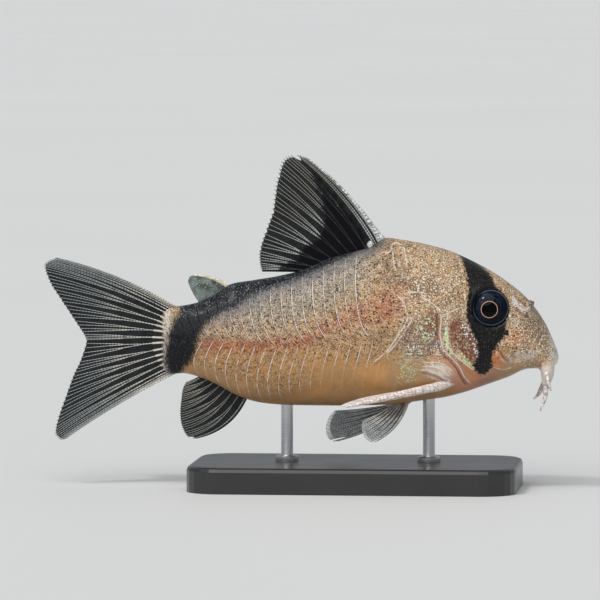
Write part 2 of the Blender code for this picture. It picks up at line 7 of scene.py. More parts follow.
import logging
import math
from dataclasses import dataclass, field
from enum import Enum
from functools import reduce

import bmesh
import bpy
import numpy as np
from mathutils import Matrix, Vector


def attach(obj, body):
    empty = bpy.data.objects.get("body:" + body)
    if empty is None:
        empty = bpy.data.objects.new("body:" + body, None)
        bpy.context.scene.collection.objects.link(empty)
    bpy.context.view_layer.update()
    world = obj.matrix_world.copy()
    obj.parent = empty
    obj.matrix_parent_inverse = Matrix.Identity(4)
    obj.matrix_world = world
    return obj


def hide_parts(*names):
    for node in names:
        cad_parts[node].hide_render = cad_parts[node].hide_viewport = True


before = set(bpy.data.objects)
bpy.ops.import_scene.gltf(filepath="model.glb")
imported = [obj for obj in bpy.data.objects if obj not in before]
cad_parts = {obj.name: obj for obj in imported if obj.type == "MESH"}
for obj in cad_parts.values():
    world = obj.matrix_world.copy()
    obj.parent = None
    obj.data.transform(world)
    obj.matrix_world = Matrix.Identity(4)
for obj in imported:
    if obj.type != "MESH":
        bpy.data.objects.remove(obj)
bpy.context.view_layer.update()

logging.basicConfig(level=logging.INFO, format="%(levelname)s %(message)s")
LOG = logging.getLogger("corydoras")

MM = 0.001
ROOT = "root"

Colour = tuple[float, float, float]
Point2 = tuple[float, float]
Point3 = tuple[float, float, float]
# How fine noise is, how many finer layers it has, and how strong they are
Grain = tuple[float, float, float]
# Where a stretch starts and ends to rise, and where it starts and ends to fall
Span = tuple[float, float, float, float]
Draft = bmesh.types.BMesh
Material = bpy.types.Material
Mesh = bpy.types.Mesh
Piece = bpy.types.Object
Socket = bpy.types.NodeSocket

# The two sides of the fish: right is -Y, left is +Y
SIDES = ((-1, "R"), (1, "L"))


class Slot(Enum):
    """Material slots."""

    SKIN = "skin"
    EYE = "eye"
    BARBEL = "barbel"
    FIN = "fin"
    PLATE = "stand_plate"
    STEEL = "stand_steel"


def eased(low: float, high: float, value: np.ndarray) -> np.ndarray:
    """An eased rise from 0 at low to 1 at high.

    Args:
        low: where the rise starts.
        high: where it ends; it may lie below low.
        value: the places to read it at.

    Returns:
        The share at each place.
    """
    share = np.clip((np.asarray(value, float) - low) / (high - low), 0.0, 1.0)
    return share * share * (3 - 2 * share)


def hump(distance: np.ndarray, width: float) -> np.ndarray:
    """A bell of height 1 that falls off over the width."""
    return np.exp(-((distance / width) ** 2))


def through(knots: np.ndarray, place: np.ndarray) -> np.ndarray:
    """A Catmull-Rom curve through knots.

    Args:
        knots: one knot a row.
        place: places along the curve, counted in knots.

    Returns:
        One point for each place.
    """
    knots = np.asarray(knots, float)
    last = len(knots) - 1
    place = np.clip(np.asarray(place, float), 0.0, last)
    start = np.minimum(place.astype(int), last - 1)
    share = (place - start)[..., None]
    before, here = knots[np.maximum(start - 1, 0)], knots[start]
    after, beyond = knots[start + 1], knots[np.minimum(start + 2, last)]
    straight = 2 * here + (after - before) * share
    bend = (2 * before - 5 * here + 4 * after - beyond) * share**2
    twist = (3 * here - before - 3 * after + beyond) * share**3
    return 0.5 * (straight + bend + twist)


def drawn(knots: tuple[Point2, ...], steps: int = 4, closed: bool = False) -> np.ndarray:
    """A smooth line through a few points.

    Args:
        knots: the points of the line.
        steps: how many pieces each stretch is drawn in.
        closed: whether it returns to its start.

    Returns:
        The points of the drawn line.
    """
    points = list(knots)
    if closed:
        wrapped = [points[-1], *points, points[0], points[1]]
        return through(wrapped, 1 + np.arange(len(points) * steps + 1) / steps)
    return through(points, np.arange((len(points) - 1) * steps + 1) / steps)


def gap_to(spots: np.ndarray, line: np.ndarray, closed: bool = False) -> np.ndarray:
    """Signed distance from spots to a drawn line.

    Args:
        spots: two columns, the spots.
        line: the points of the line.
        closed: whether the sign tells inside (plus) from outside; else it tells the two sides apart.

    Returns:
        The signed distance of each spot.
    """
    best = np.full(len(spots), 1e9)
    side = np.ones(len(spots))
    inside = np.zeros(len(spots), bool)
    for start, end in zip(line[:-1], line[1:]):
        run = end - start
        away = spots - start
        share = np.clip(away @ run / max(run @ run, 1e-12), 0, 1)
        distance = np.hypot(*(away - share[:, None] * run).T)
        nearer = distance < best
        best[nearer] = distance[nearer]
        turn = run[0] * away[:, 1] - run[1] * away[:, 0]
        side[nearer] = np.sign(turn[nearer])
        if closed and start[1] != end[1]:
            crossed = (start[1] > spots[:, 1]) != (end[1] > spots[:, 1])
            reach = start[0] + (spots[:, 1] - start[1]) * run[0] / run[1]
            inside ^= crossed & (spots[:, 0] < reach)
    return best * (np.where(inside, 1, -1) if closed else side)


@dataclass
class BodyForm:
    """The fish's own form: the same stations and leaning rings that its solids are drawn from."""

    # Place along the fish, back, belly, half width, share of the height at which it is widest, roundness up and down
    stations: tuple = (
        (30.00, 15.40, 15.00, 0.30, 0.50, 2.0, 2.0),
        (29.82, 16.10, 14.60, 1.25, 0.48, 2.0, 2.0),
        (29.30, 17.40, 14.15, 1.95, 0.46, 2.0, 2.1),
        (28.45, 19.20, 13.90, 2.60, 0.44, 2.0, 2.2),
        (27.30, 20.95, 14.00, 3.15, 0.42, 2.1, 2.3),
        (26.00, 22.40, 13.85, 3.60, 0.40, 2.2, 2.4),
        (24.20, 23.88, 13.00, 4.10, 0.39, 2.3, 2.5),
        (22.00, 25.30, 12.20, 4.60, 0.38, 2.4, 2.5),
        (19.50, 26.60, 11.32, 5.15, 0.38, 2.3, 2.6),
        (17.00, 27.65, 10.65, 5.70, 0.38, 2.1, 2.7),
        (14.40, 28.33, 10.25, 6.05, 0.39, 1.9, 2.8),
        (11.80, 28.80, 9.86, 6.20, 0.40, 1.8, 2.8),
        (9.80, 28.95, 9.70, 6.12, 0.41, 1.75, 2.8),
        (8.20, 27.95, 9.62, 6.00, 0.43, 1.8, 2.7),
        (6.40, 27.40, 9.57, 5.80, 0.44, 1.85, 2.6),
        (3.50, 26.62, 9.53, 5.40, 0.45, 1.9, 2.5),
        (0.50, 25.30, 9.53, 4.95, 0.46, 1.9, 2.4),
        (-2.60, 24.50, 9.60, 4.45, 0.47, 1.9, 2.3),
        (-5.20, 24.05, 9.92, 3.95, 0.48, 1.9, 2.2),
        (-7.50, 23.55, 10.70, 3.45, 0.49, 1.95, 2.1),
        (-9.60, 22.45, 11.85, 2.95, 0.50, 2.0, 2.1),
        (-11.60, 21.50, 12.68, 2.50, 0.50, 2.0, 2.1),
        (-13.40, 21.05, 13.12, 2.10, 0.50, 2.0, 2.0),
        (-14.80, 20.85, 13.10, 1.75, 0.50, 2.0, 2.0),
        (-15.90, 20.20, 13.55, 1.35, 0.50, 2.0, 2.0),
        (-16.70, 19.00, 14.70, 0.90, 0.50, 2.0, 2.0),
        (-17.20, 17.80, 16.00, 0.50, 0.50, 2.0, 2.0),
    )
    scute_first: float = 10.15
    scute_pitch: float = 1.25
    scute_count: int = 21
    lean_up: float = 2.3
    lean_down: float = 1.1

    def __post_init__(self) -> None:
        """Draws the table that turns a place along the fish into a place among the stations."""
        self.knots = np.array(self.stations)
        self.places = np.linspace(0, len(self.knots) - 1, 24 * (len(self.knots) - 1) + 1)
        self.reached = -through(self.knots, self.places)[:, 0]

    def section(self, x: np.ndarray) -> tuple[np.ndarray, ...]:
        """The body's cross-section.

        Args:
            x: places along the fish.

        Returns:
            Back, belly, half width, widest height, upper roundness and lower roundness at each place.
        """
        place = np.interp(-np.asarray(x, float), self.reached, self.places)
        back, belly, half, widest, up, down = np.moveaxis(through(self.knots, place)[..., 1:], -1, 0)
        return back, belly, half, belly + widest * (back - belly), up, down

    def lean(self, x: np.ndarray, height: np.ndarray) -> np.ndarray:
        """How far a ring leans along the fish.

        Args:
            x: places of the rings along the fish.
            height: heights on the rings, from -1 at the belly to 1 at the back.

        Returns:
            The lean at each place, in millimetres.
        """
        back, belly = self.section(x)[:2]
        span = 0.5 * (back - belly) * np.abs(height)
        upper = -self.lean_up * (1 - np.exp(-span / self.lean_up))
        lower = -self.lean_down * np.sin(np.pi * np.minimum(1.0, 0.85 * np.abs(height)))
        chevron = np.where(height < 0, lower, upper) * eased(15.5, 8.5, x) * eased(-17.0, -11.5, x)
        gill = np.where(height < 0, 3.2 * np.maximum(-height, 0) ** 1.4, -0.6 * height)
        return chevron + gill * eased(9.5, 14.5, x) * eased(24.5, 16.5, x)

    def skin(self, x: np.ndarray, turn: np.ndarray) -> np.ndarray:
        """Points of the smooth skin.

        Args:
            x: places of the rings along the fish.
            turn: angles round a ring, 0 at the back, a quarter at the right flank, a half at the belly.

        Returns:
            The points, in millimetres.
        """
        height = np.cos(turn)
        x = x + self.lean(x, height)
        back, belly, half, middle, up, down = self.section(x)
        reach = np.where(height >= 0, back - middle, middle - belly)
        power = np.where(height >= 0, up, down)
        across = np.sign(np.sin(turn)) * np.abs(np.sin(turn)) ** (2 / power)
        along = np.sign(height) * np.abs(height) ** (2 / power)
        return np.stack([x, -half * across, middle + reach * along], -1)

    def flank(self, x: float, z: float) -> float:
        """The half width at a place and height."""
        back, belly, half, middle, up, down = (float(value) for value in self.section(x))
        reach, power = (back - middle, up) if z > middle else (middle - belly, down)
        return half * (1 - min(abs(z - middle) / reach, 1.0) ** power) ** (1 / power)

    def underside(self, x: float, y: float) -> float:
        """The height of the belly, a distance y off the middle."""
        _, belly, half, middle, _, power = (float(value) for value in self.section(x))
        return middle - (middle - belly) * (1 - min(abs(y) / half, 1.0) ** power) ** (1 / power)

    def back_at(self, x: float) -> float:
        """The height of the back."""
        return float(self.section(x)[0])

    def belly_at(self, x: float) -> float:
        """The height of the belly's keel."""
        return float(self.section(x)[1])

    def armour(self, x: np.ndarray, height: np.ndarray) -> np.ndarray:
        """How much of the plates shows: none on the ridge of the back and the soft belly, little on the side line.

        Args:
            x: places of the rings along the fish.
            height: heights on the rings, from -1 to 1.

        Returns:
            The share of the plates' relief at each place.
        """
        upper = eased(1.0, 0.9, height) * (0.25 + 0.75 * eased(0.0, 0.1, height))
        soft = 0.55 + 0.35 * eased(6.0, -6.0, x)
        lower = (1 - eased(soft - 0.08, soft + 0.12, -height)) * (0.25 + 0.75 * eased(0.0, 0.1, -height))
        return np.where(height >= 0, upper, lower)


FORM = BodyForm()

# Markings are drawn as the flank shows them from a little ahead and above
DRAWING_TURN = math.radians(5.5)
DRAWING_TILT = math.radians(3.5)
DRAWING_HEIGHT = 21.73


def drawing_of(points: np.ndarray) -> np.ndarray:
    """Where points of either flank fall on the plane that the markings are drawn in.

    Args:
        points: three columns, in millimetres.

    Returns:
        Two columns, along the fish and up.
    """
    x, y, z = points[:, 0], np.abs(points[:, 1]), points[:, 2]
    along = x * math.cos(DRAWING_TURN) - y * math.sin(DRAWING_TURN)
    toward = y * math.cos(DRAWING_TURN) + x * math.sin(DRAWING_TURN)
    up = (z - DRAWING_HEIGHT) * math.cos(DRAWING_TILT) - toward * math.sin(DRAWING_TILT) + DRAWING_HEIGHT
    return np.stack([along, up], -1)


@dataclass(frozen=True)
class Markings:
    """Outlines of the colours and folds of the flank, in the drawing's plane."""

    eye: Point2 = (21.91, 20.76)
    mask: tuple = (
        (17.3, 28.6), (18.6, 26.5), (19.2, 24.2), (19.3, 22.8), (19.1, 20.85), (19.15, 19.45), (19.8, 18.0),
        (20.35, 16.4), (20.35, 15.1), (19.85, 14.3), (20.6, 13.2), (21.5, 13.3), (22.1, 14.3), (22.15, 15.6),
        (22.65, 16.4), (23.2, 17.3), (23.95, 17.9), (23.6, 18.7), (24.0, 20.6), (23.2, 22.6), (22.3, 23.6),
        (22.1, 24.4), (21.1, 25.5), (20.2, 26.3), (19.6, 28.6),
    )
    saddle: tuple = (
        (9.3, 28.3), (6.8, 27.35), (4.65, 26.3), (2.55, 25.3), (0.5, 24.4), (-1.6, 23.55), (-3.7, 22.85),
        (-5.8, 21.9), (-7.45, 20.85), (-9.3, 20.0), (-10.6, 18.95), (-11.2, 18.1), (-11.7, 17.1), (-12.0, 15.85),
        (-12.5, 14.6), (-13.3, 13.75), (-14.3, 12.4), (-15.3, 12.9), (-15.8, 14.7), (-15.65, 16.3),
        (-15.2, 17.8), (-14.8, 19.1), (-14.0, 20.6), (-14.3, 22.6), (-11.0, 24.8), (-5.0, 26.8), (2.0, 29.0),
        (9.3, 31.5),
    )
    stripe: tuple = (
        (-11.0, 16.6), (-7.0, 16.4), (-3.5, 16.6), (0.0, 16.85), (1.75, 17.7), (2.9, 18.6), (4.65, 19.2),
        (6.85, 20.1), (9.3, 20.9), (11.6, 21.9),
    )
    cover: tuple = (
        (16.85, 19.7), (16.35, 18.4), (16.35, 17.1), (16.9, 15.9), (17.9, 14.8), (18.9, 13.7), (20.0, 12.95),
        (21.1, 13.4), (21.4, 14.6), (21.0, 16.2), (20.2, 17.7), (19.2, 19.1), (18.0, 20.0),
    )
    # Thin pale lines: the rim of the gill opening, the rim of the cover, the shoulder plate, head canals, fin muscles
    pale: tuple = (
        ((16.12, 19.9), (16.2, 19.3), (16.1, 18.4), (16.1, 17.4), (16.5, 16.05), (17.5, 14.95), (18.3, 14.05),
         (18.85, 12.95), (19.45, 12.3)),
        ((19.9, 13.75), (18.8, 14.55), (17.8, 15.4), (17.1, 16.2), (16.85, 17.4), (16.85, 18.4)),
        ((11.3, 22.1), (11.9, 21.45), (12.25, 20.3), (12.4, 19.7), (11.9, 18.65), (11.05, 17.4), (10.5, 16.55),
         (9.65, 15.55), (8.6, 14.7)),
        ((10.1, 15.7), (10.85, 16.45), (11.5, 17.35), (12.3, 18.55), (12.85, 19.5)),
        ((12.2, 22.5), (12.9, 22.65), (14.15, 22.55)),
        ((14.15, 22.0), (15.2, 21.3), (16.25, 20.3)),
        ((16.25, 19.95), (17.2, 20.3), (18.1, 20.75)),
        ((14.6, 14.55), (15.6, 14.6), (16.6, 14.3), (17.4, 13.6)),
        ((17.0, 13.2), (16.3, 13.8), (15.4, 14.1), (14.4, 14.15)),
        ((14.0, 13.7), (15.0, 13.55), (15.9, 13.25), (16.6, 12.75)),
        ((9.2, 27.0), (9.7, 27.25), (10.1, 27.1), (10.5, 27.5), (10.6, 28.05), (11.1, 28.3), (11.6, 28.1)),
        ((12.0, 27.7), (12.15, 26.8), (12.3, 25.8)),
        ((10.7, 27.2), (10.75, 26.3), (10.95, 25.3)),
        ((22.6, 13.9), (23.3, 13.75), (24.2, 13.95)),
        ((24.9, 21.2), (25.2, 20.75), (25.9, 20.5), (26.4, 20.9)),
        ((24.6, 21.9), (24.9, 21.2)),
    )
    # Folds that sink into the skin, with painted shade along them
    grooves: tuple = (
        ((19.1, 19.2), (20.0, 18.4), (20.75, 17.7), (21.7, 16.8), (22.35, 16.15), (23.0, 15.75), (23.3, 15.2),
         (23.95, 14.5)),
        ((24.85, 22.15), (25.4, 21.6), (26.05, 21.05)),
        ((25.0, 20.7), (25.5, 20.15), (26.3, 19.75)),
        ((15.75, 20.1), (15.75, 18.3), (15.8, 17.2), (16.2, 15.75), (17.2, 14.7), (18.0, 13.8), (18.5, 12.8),
         (19.0, 12.0)),
        ((14.2, 13.35), (15.2, 13.1), (16.1, 12.75), (16.9, 12.3)),
        ((19.6, 20.2), (19.45, 21.2), (19.7, 22.2)),
    )
    # Soft blots of colour: strength, middle along and up, half length, half height, turn in degrees
    blots: dict = field(default_factory=lambda: {
        "rose": ((1.0, 17.5, 14.6, 2.2, 3.6, 25.0), (1.0, 20.5, 12.6, 2.6, 1.2, 20.0),
                 (0.3, 11.2, 20.6, 2.4, 1.6, 20.0)),
        "orange": ((1.0, 22.75, 15.0, 0.9, 0.9), (0.5, 9.6, 27.2, 0.8, 0.5)),
        "umber": ((0.55, 13.8, 23.4, 2.8, 1.1, -15.0), (0.4, 11.0, 25.0, 1.8, 2.2), (0.4, 17.2, 21.9, 1.3, 0.7, 30.0)),
        "mauve": ((0.85, 13.9, 17.6, 2.2, 2.6, -35.0),),
        "opercle": ((1.0, 18.95, 17.0, 3.2, 1.4, -58.0),),
        "maroon": ((0.7, 15.2, 19.0, 0.9, 1.6),),
        "muscle": ((1.0, 15.9, 13.4, 1.9, 1.2, -15.0),),
        "bare": ((1.0, 15.9, 13.4, 1.9, 1.3),),
        "shoulder": ((1.0, 14.9, 18.3, 1.4, 2.2),),
        "nostril": ((1.0, 25.2, 21.0, 0.9, 0.9),),
        "pallor": ((0.5, 25.6, 15.3, 2.8, 0.7, 12.0), (0.9, 24.95, 21.4, 0.5, 0.95, 30.0),
                   (0.9, 25.95, 20.65, 0.6, 0.45), (0.35, 16.8, 17.4, 0.4, 1.8)),
        "glitter": ((0.4, 19.05, 16.5, 2.3, 1.0, -55.0), (0.95, 14.6, 18.4, 1.1, 1.5), (0.9, 13.0, 16.0, 0.9, 0.8),
                    (0.8, 15.9, 16.3, 0.6, 1.0), (0.45, 12.3, 13.2, 1.3, 1.5)),
        "cold": ((1.0, 13.0, 16.0, 0.9, 0.8), (1.0, 15.9, 16.3, 0.6, 1.0), (0.5, 15.3, 17.4, 0.8, 0.8)),
    })
    # The same for broad, faint patches; those of the relief are heights in millimetres: nostril, muscle at the root of
    # the pectoral fin, cheek, and the ridge before the adipose fin
    patches: dict = field(default_factory=lambda: {
        "orange": ((0.8, 24.6, 17.3, 1.3, 1.1), (0.34, 8.4, 19.8, 5.2, 2.2, 22.0)),
        "pallor": ((0.42, 24.7, 19.3, 0.9, 1.3),),
        "relief": ((0.10, 25.35, 21.05, 0.42, 0.5), (0.16, 16.0, 13.4, 1.3, 0.8, -12.0),
                   (0.2, 17.2, 12.5, 1.2, 0.6, -15.0), (0.10, 23.6, 16.6, 1.6, 1.2), (0.22, -8.3, 23.2, 1.7, 0.8)),
    })
    # Soft strips: strength, half width, and the points of the line
    strips: dict = field(default_factory=lambda: {
        "orange": ((0.6, 0.3, (18.6, 15.0), (19.3, 13.6), (20.2, 12.7)),),
        "gold": ((0.6, 0.22, (16.95, 18.3), (16.85, 17.2), (17.3, 15.9)),
                 (1.0, 0.2, (18.2, 15.75), (19.0, 14.8), (19.95, 14.1))),
        "glitter": ((1.0, 0.42, (18.8, 18.6), (19.7, 17.4), (20.4, 16.2), (20.8, 15.1)),
                    (1.0, 0.28, (18.1, 15.8), (18.95, 14.8), (19.95, 14.1)),
                    (1.0, 0.26, (16.8, 18.2), (16.75, 17.0), (17.2, 15.7))),
        "cold": ((1.0, 0.6, (18.8, 18.6), (19.7, 17.4), (20.4, 16.2), (20.8, 15.1)),),
    })


MARKS = Markings()


def fin_place(root: tuple, margin: tuple, bows: tuple, across: np.ndarray, out: np.ndarray) -> np.ndarray:
    """Points of a fin in its own flat plane.

    Args:
        root: the points of its root, from the leading edge.
        margin: the points of its margin, from the leading edge.
        bows: how much its first and last ray bend.
        across: shares over the rays, from the leading edge.
        out: shares from root to margin.

    Returns:
        Two columns, along and up.
    """
    across, out = np.asarray(across, float), np.asarray(out, float)[..., None]
    foot = through(root, across * (len(root) - 1))
    chord = through(margin, across * (len(margin) - 1)) - foot
    bow = (bows[0] + (bows[1] - bows[0]) * across)[..., None]
    return foot + chord * out + np.stack([-chord[..., 1], chord[..., 0]], -1) * bow * 4 * out * (1 - out)


@dataclass(frozen=True)
class TailLobe:
    """Root and margin of one lobe of the tail fin, and the lanes of its rays: middle, width and forks."""

    root: tuple
    margin: tuple
    bows: tuple[float, float]
    lanes: tuple = (
        (0.012, 0.02, 0), (0.038, 0.02, 0), (0.068, 0.02, 0), (0.102, 0.025, 0), (0.148, 0.05, 1), (0.21, 0.07, 1),
        (0.295, 0.11, 2), (0.41, 0.125, 2), (0.535, 0.13, 2), (0.66, 0.13, 2), (0.79, 0.13, 2), (0.92, 0.13, 2),
    )

    def feet(self) -> list:
        """The line of each ray's foot, drawn on into the flesh."""
        return [fin_place(self.root, self.margin, self.bows, np.full(7, lane[0]), np.linspace(-0.22, 0.12, 7))
                for lane in self.lanes]


UPPER_LOBE = TailLobe(
    ((-14.3, 20.75), (-15.5, 20.3), (-16.3, 19.3), (-16.8, 18.3), (-17.0, 16.95)),
    ((-28.4, 26.5), (-29.35, 26.15), (-29.92, 25.5), (-29.3, 23.6), (-28.0, 21.6), (-26.6, 19.5), (-25.4, 17.7),
     (-24.95, 16.85)),
    (-0.042, 0.0),
)
LOWER_LOBE = TailLobe(
    ((-14.3, 13.25), (-15.5, 13.5), (-16.3, 14.5), (-16.8, 15.6), (-17.0, 16.97)),
    ((-27.4, 5.4), (-28.15, 5.3), (-28.7, 6.1), (-28.3, 8.0), (-27.4, 10.5), (-26.6, 12.7), (-25.7, 14.6),
     (-24.95, 16.87)),
    (-0.02, 0.0),
)


class Fields:
    """Distances and shares over a set of skin points, read by the relief and by the colours alike."""

    def __init__(self, points: np.ndarray, station: np.ndarray, height: np.ndarray) -> None:
        """Reads every outline once.

        Args:
            points: the skin's points, in millimetres.
            station: the place of each point's ring.
            height: the height of each point on its ring, from -1 to 1.
        """
        self.station = station
        self.height = height
        self.spots = drawing_of(points)
        self.flank = eased(0.6, 1.6, np.abs(points[:, 1]))
        self.mask = gap_to(self.spots, drawn(MARKS.mask, closed=True), closed=True)
        self.saddle = gap_to(self.spots, drawn(MARKS.saddle, closed=True), closed=True)
        self.stripe = np.abs(gap_to(self.spots, drawn(MARKS.stripe)))
        self.cover = gap_to(self.spots, drawn(MARKS.cover, closed=True), closed=True)
        self.eye = np.hypot(*(self.spots - np.array(MARKS.eye)).T)
        self.pale = self.nearest(MARKS.pale)
        self.groove = self.nearest(MARKS.grooves)
        tail = points[:, 0] < -13.0
        self.feet = np.full(len(points), 1.0)
        for foot in (*UPPER_LOBE.feet(), *LOWER_LOBE.feet()):
            self.feet[tail] = np.minimum(self.feet[tail], np.abs(gap_to(points[tail][:, [0, 2]], foot)))
        self.tailed = eased(-14.9, -16.4, points[:, 0])
        self.armour = FORM.armour(station, height) * eased(10.6, 9.6, station) * eased(-16.2, -15.2, station)

    def nearest(self, lines: tuple) -> np.ndarray:
        """The signed distance to whichever line is nearest.

        Args:
            lines: the knots of each line.

        Returns:
            The distance of each point, up to 9.
        """
        found = np.full(len(self.spots), 9.0)
        for line in lines:
            gap = gap_to(self.spots, drawn(line))
            nearer = np.abs(gap) < np.abs(found)
            found[nearer] = gap[nearer]
        return found

    def strip(self, width: float, *knots: Point2) -> np.ndarray:
        """A soft strip along a line of the flank, a plateau of the given half width."""
        return eased(1.5 * width, 0.7 * width, np.abs(gap_to(self.spots, drawn(knots))))

    def blot(self, x: float, z: float, wide: float, tall: float, slope: float = 0.0) -> np.ndarray:
        """A patch with a broad plateau and a soft edge."""
        return eased(0.2, 0.62, self.patch(x, z, wide, tall, slope))

    def patch(self, x: float, z: float, wide: float, tall: float, slope: float = 0.0) -> np.ndarray:
        """A soft oval patch of the flank.

        Args:
            x: its middle along the fish.
            z: its middle height.
            wide: its half length.
            tall: its half height.
            slope: its turn, in degrees.

        Returns:
            The share of the patch at each point.
        """
        turned = math.radians(slope)
        away = self.spots - np.array((x, z))
        along = away[:, 0] * math.cos(turned) + away[:, 1] * math.sin(turned)
        over = away[:, 1] * math.cos(turned) - away[:, 0] * math.sin(turned)
        return hump(np.hypot(along / wide, over / tall), 1.0)

    def dabs(self, name: str) -> np.ndarray:
        """All the blots, patches and strips of one name together.

        Args:
            name: their name in the tables of the markings.

        Returns:
            The sum at each point.
        """
        total = np.zeros(len(self.spots))
        for shape, table in ((self.blot, MARKS.blots), (self.patch, MARKS.patches), (self.strip, MARKS.strips)):
            for strength, *form in table.get(name, ()):
                total += strength * shape(*form)
        return total


class Recipe:
    """Short forms for building a material's nodes."""

    def __init__(self, name: str) -> None:
        """Starts a material.

        Args:
            name: the material's name.
        """
        self.material = bpy.data.materials.new(name)
        self.material.use_nodes = True
        self.tree = self.material.node_tree
        self.shader = self.tree.nodes["Principled BSDF"]

    def put(self, value: float | Colour | Socket, socket: Socket) -> None:
        """Sets or links a socket.

        Args:
            value: a value to set, or a socket to link from.
            socket: the socket that takes it.
        """
        if isinstance(value, bpy.types.NodeSocket):
            self.tree.links.new(value, socket)
        elif isinstance(value, tuple) and len(value) == 3 and socket.type == "RGBA":
            socket.default_value = (*value, 1.0)
        else:
            socket.default_value = value

    def node(self, kind: str, inputs: dict, output: int | str = 0, **settings: str) -> Socket:
        """Adds a node.

        Args:
            kind: its type, without the words that all types start with.
            inputs: what its inputs take, by number or name.
            output: the number or name of the output that is used.
            settings: its own settings, by name.

        Returns:
            That output.
        """
        node = self.tree.nodes.new(f"ShaderNode{kind}")
        for name, value in settings.items():
            setattr(node, name, value)
        for name, value in inputs.items():
            self.put(value, node.inputs[name])
        return node.outputs[output]

    def maths(self, operation: str, *values: float | Socket) -> Socket:
        """The result of a sum on one to three values, named as in a Math node."""
        return self.node("Math", dict(enumerate(values)), operation=operation)

    def band(self, value: Socket, low: float, high: float, start: float = 0.0, end: float = 1.0) -> Socket:
        """An eased rise from start to end as the value goes from low to high, which is above low."""
        return self.node("MapRange", dict(enumerate((value, low, high, start, end))), interpolation_type="SMOOTHSTEP")

    def fade(self, value: Socket, low: float, high: float) -> Socket:
        """An eased fall, from 1 at low to 0 at high."""
        return self.band(value, low, high, 1.0, 0.0)

    def hoop(self, value: Socket, span: Span) -> Socket:
        """1 on a stretch of the value, 0 off it; the span is where it starts and ends to rise, and then to fall."""
        return self.both(self.band(value, *span[:2]), self.fade(value, *span[2:]))

    def both(self, *shares: Socket | float) -> Socket:
        """The product of shares."""
        return reduce(lambda first, second: self.maths("MULTIPLY", first, second), shares)

    def scaled(self, value: Socket, factor: float, offset: float) -> Socket:
        """The value times a factor, plus an offset."""
        return self.maths("MULTIPLY_ADD", value, factor, offset)

    def swing(self, noise: Socket, width: float) -> Socket:
        """Noise spread over a width, evenly to both sides of 0."""
        return self.scaled(noise, width, -0.5 * width)

    def repeat(self, value: Socket, pitch: float) -> Socket:
        """The share of the pitch that the value has gone, over and over."""
        return self.maths("FRACT", self.maths("DIVIDE", value, pitch))

    def mix(self, share: float | Socket, low: Colour | Socket, high: Colour | Socket, blend: str = "MIX") -> Socket:
        """The low colour under a share of the high one."""
        return self.node("Mix", {0: share, 6: low, 7: high}, 2, data_type="RGBA", blend_type=blend)

    def over(self, below: Colour | Socket, above: Colour | Socket, *shares: Socket | float) -> Socket:
        """One colour over another, by the product of the shares."""
        return self.mix(self.both(*shares), below, above)

    def layered(self, colour: Colour | Socket, *layers: tuple) -> Socket:
        """Colours laid over one another, each given with the shares whose product it shows by."""
        return reduce(lambda below, layer: self.over(below, *layer), layers, colour)

    def attribute(self, name: str) -> Socket:
        """A named value of the mesh."""
        return self.node("Attribute", {}, "Fac", attribute_name=name)

    def place(self) -> Socket:
        """The place on the object, in metres."""
        return self.node("TexCoord", {}, "Object")

    def split(self, vector: Socket) -> tuple[Socket, ...]:
        """The three parts of a vector."""
        return tuple(self.node("SeparateXYZ", {0: vector}).node.outputs)

    def join(self, *parts: float | Socket) -> Socket:
        """A vector from three parts."""
        return self.node("CombineXYZ", dict(enumerate(parts)))

    def noise(self, vector: Socket, scale: float, detail: float, rough: float) -> Socket:
        """Smooth noise of about 0 to 1: how fine it is, how many finer layers it has, and how strong they are."""
        return self.node("TexNoise", {"Vector": vector, "Scale": scale, "Detail": detail, "Roughness": rough}, "Fac")

    def cells(self, vector: Socket, scale: float, scatter: float = 1.0) -> tuple[Socket, Socket]:
        """Scattered cells: the distance to the nearest one's middle, and a colour drawn for each."""
        distance = self.node("TexVoronoi", {"Vector": vector, "Scale": scale, "Randomness": scatter}, "Distance")
        return distance, distance.node.outputs["Color"]

    def dots(self, vector: Socket, scale: float, size: float, few: float = 0.0, scatter: float = 1.0) -> Socket:
        """Small dots of uneven size.

        Args:
            vector: the place they are read at.
            scale: how fine they are.
            size: the largest dot's radius, as a share of a cell.
            few: the share of cells left bare.
            scatter: how far the cells leave a grid.

        Returns:
            1 on a dot, 0 off it.
        """
        distance, luck = self.cells(vector, scale, scatter)
        radius = self.band(self.split(luck)[0], few, 1.0, 0.0, size)
        return self.band(self.maths("SUBTRACT", radius, distance), -0.02, 0.1)

    def bump(self, height: Socket, depth: float) -> None:
        """Adds fine relief of about 0 to 1, times a depth in metres, to the shader's normal."""
        bumped = self.node("Bump", {"Strength": 1.0, "Distance": depth, "Height": height})
        self.put(bumped, self.shader.inputs["Normal"])

    def finish(self, **sockets: float | Colour | Socket) -> Material:
        """Sets the shader's own sockets, named with underscores for spaces, and returns the material."""
        for name, value in sockets.items():
            self.put(value, self.shader.inputs[name.replace("_", " ")])
        return self.material


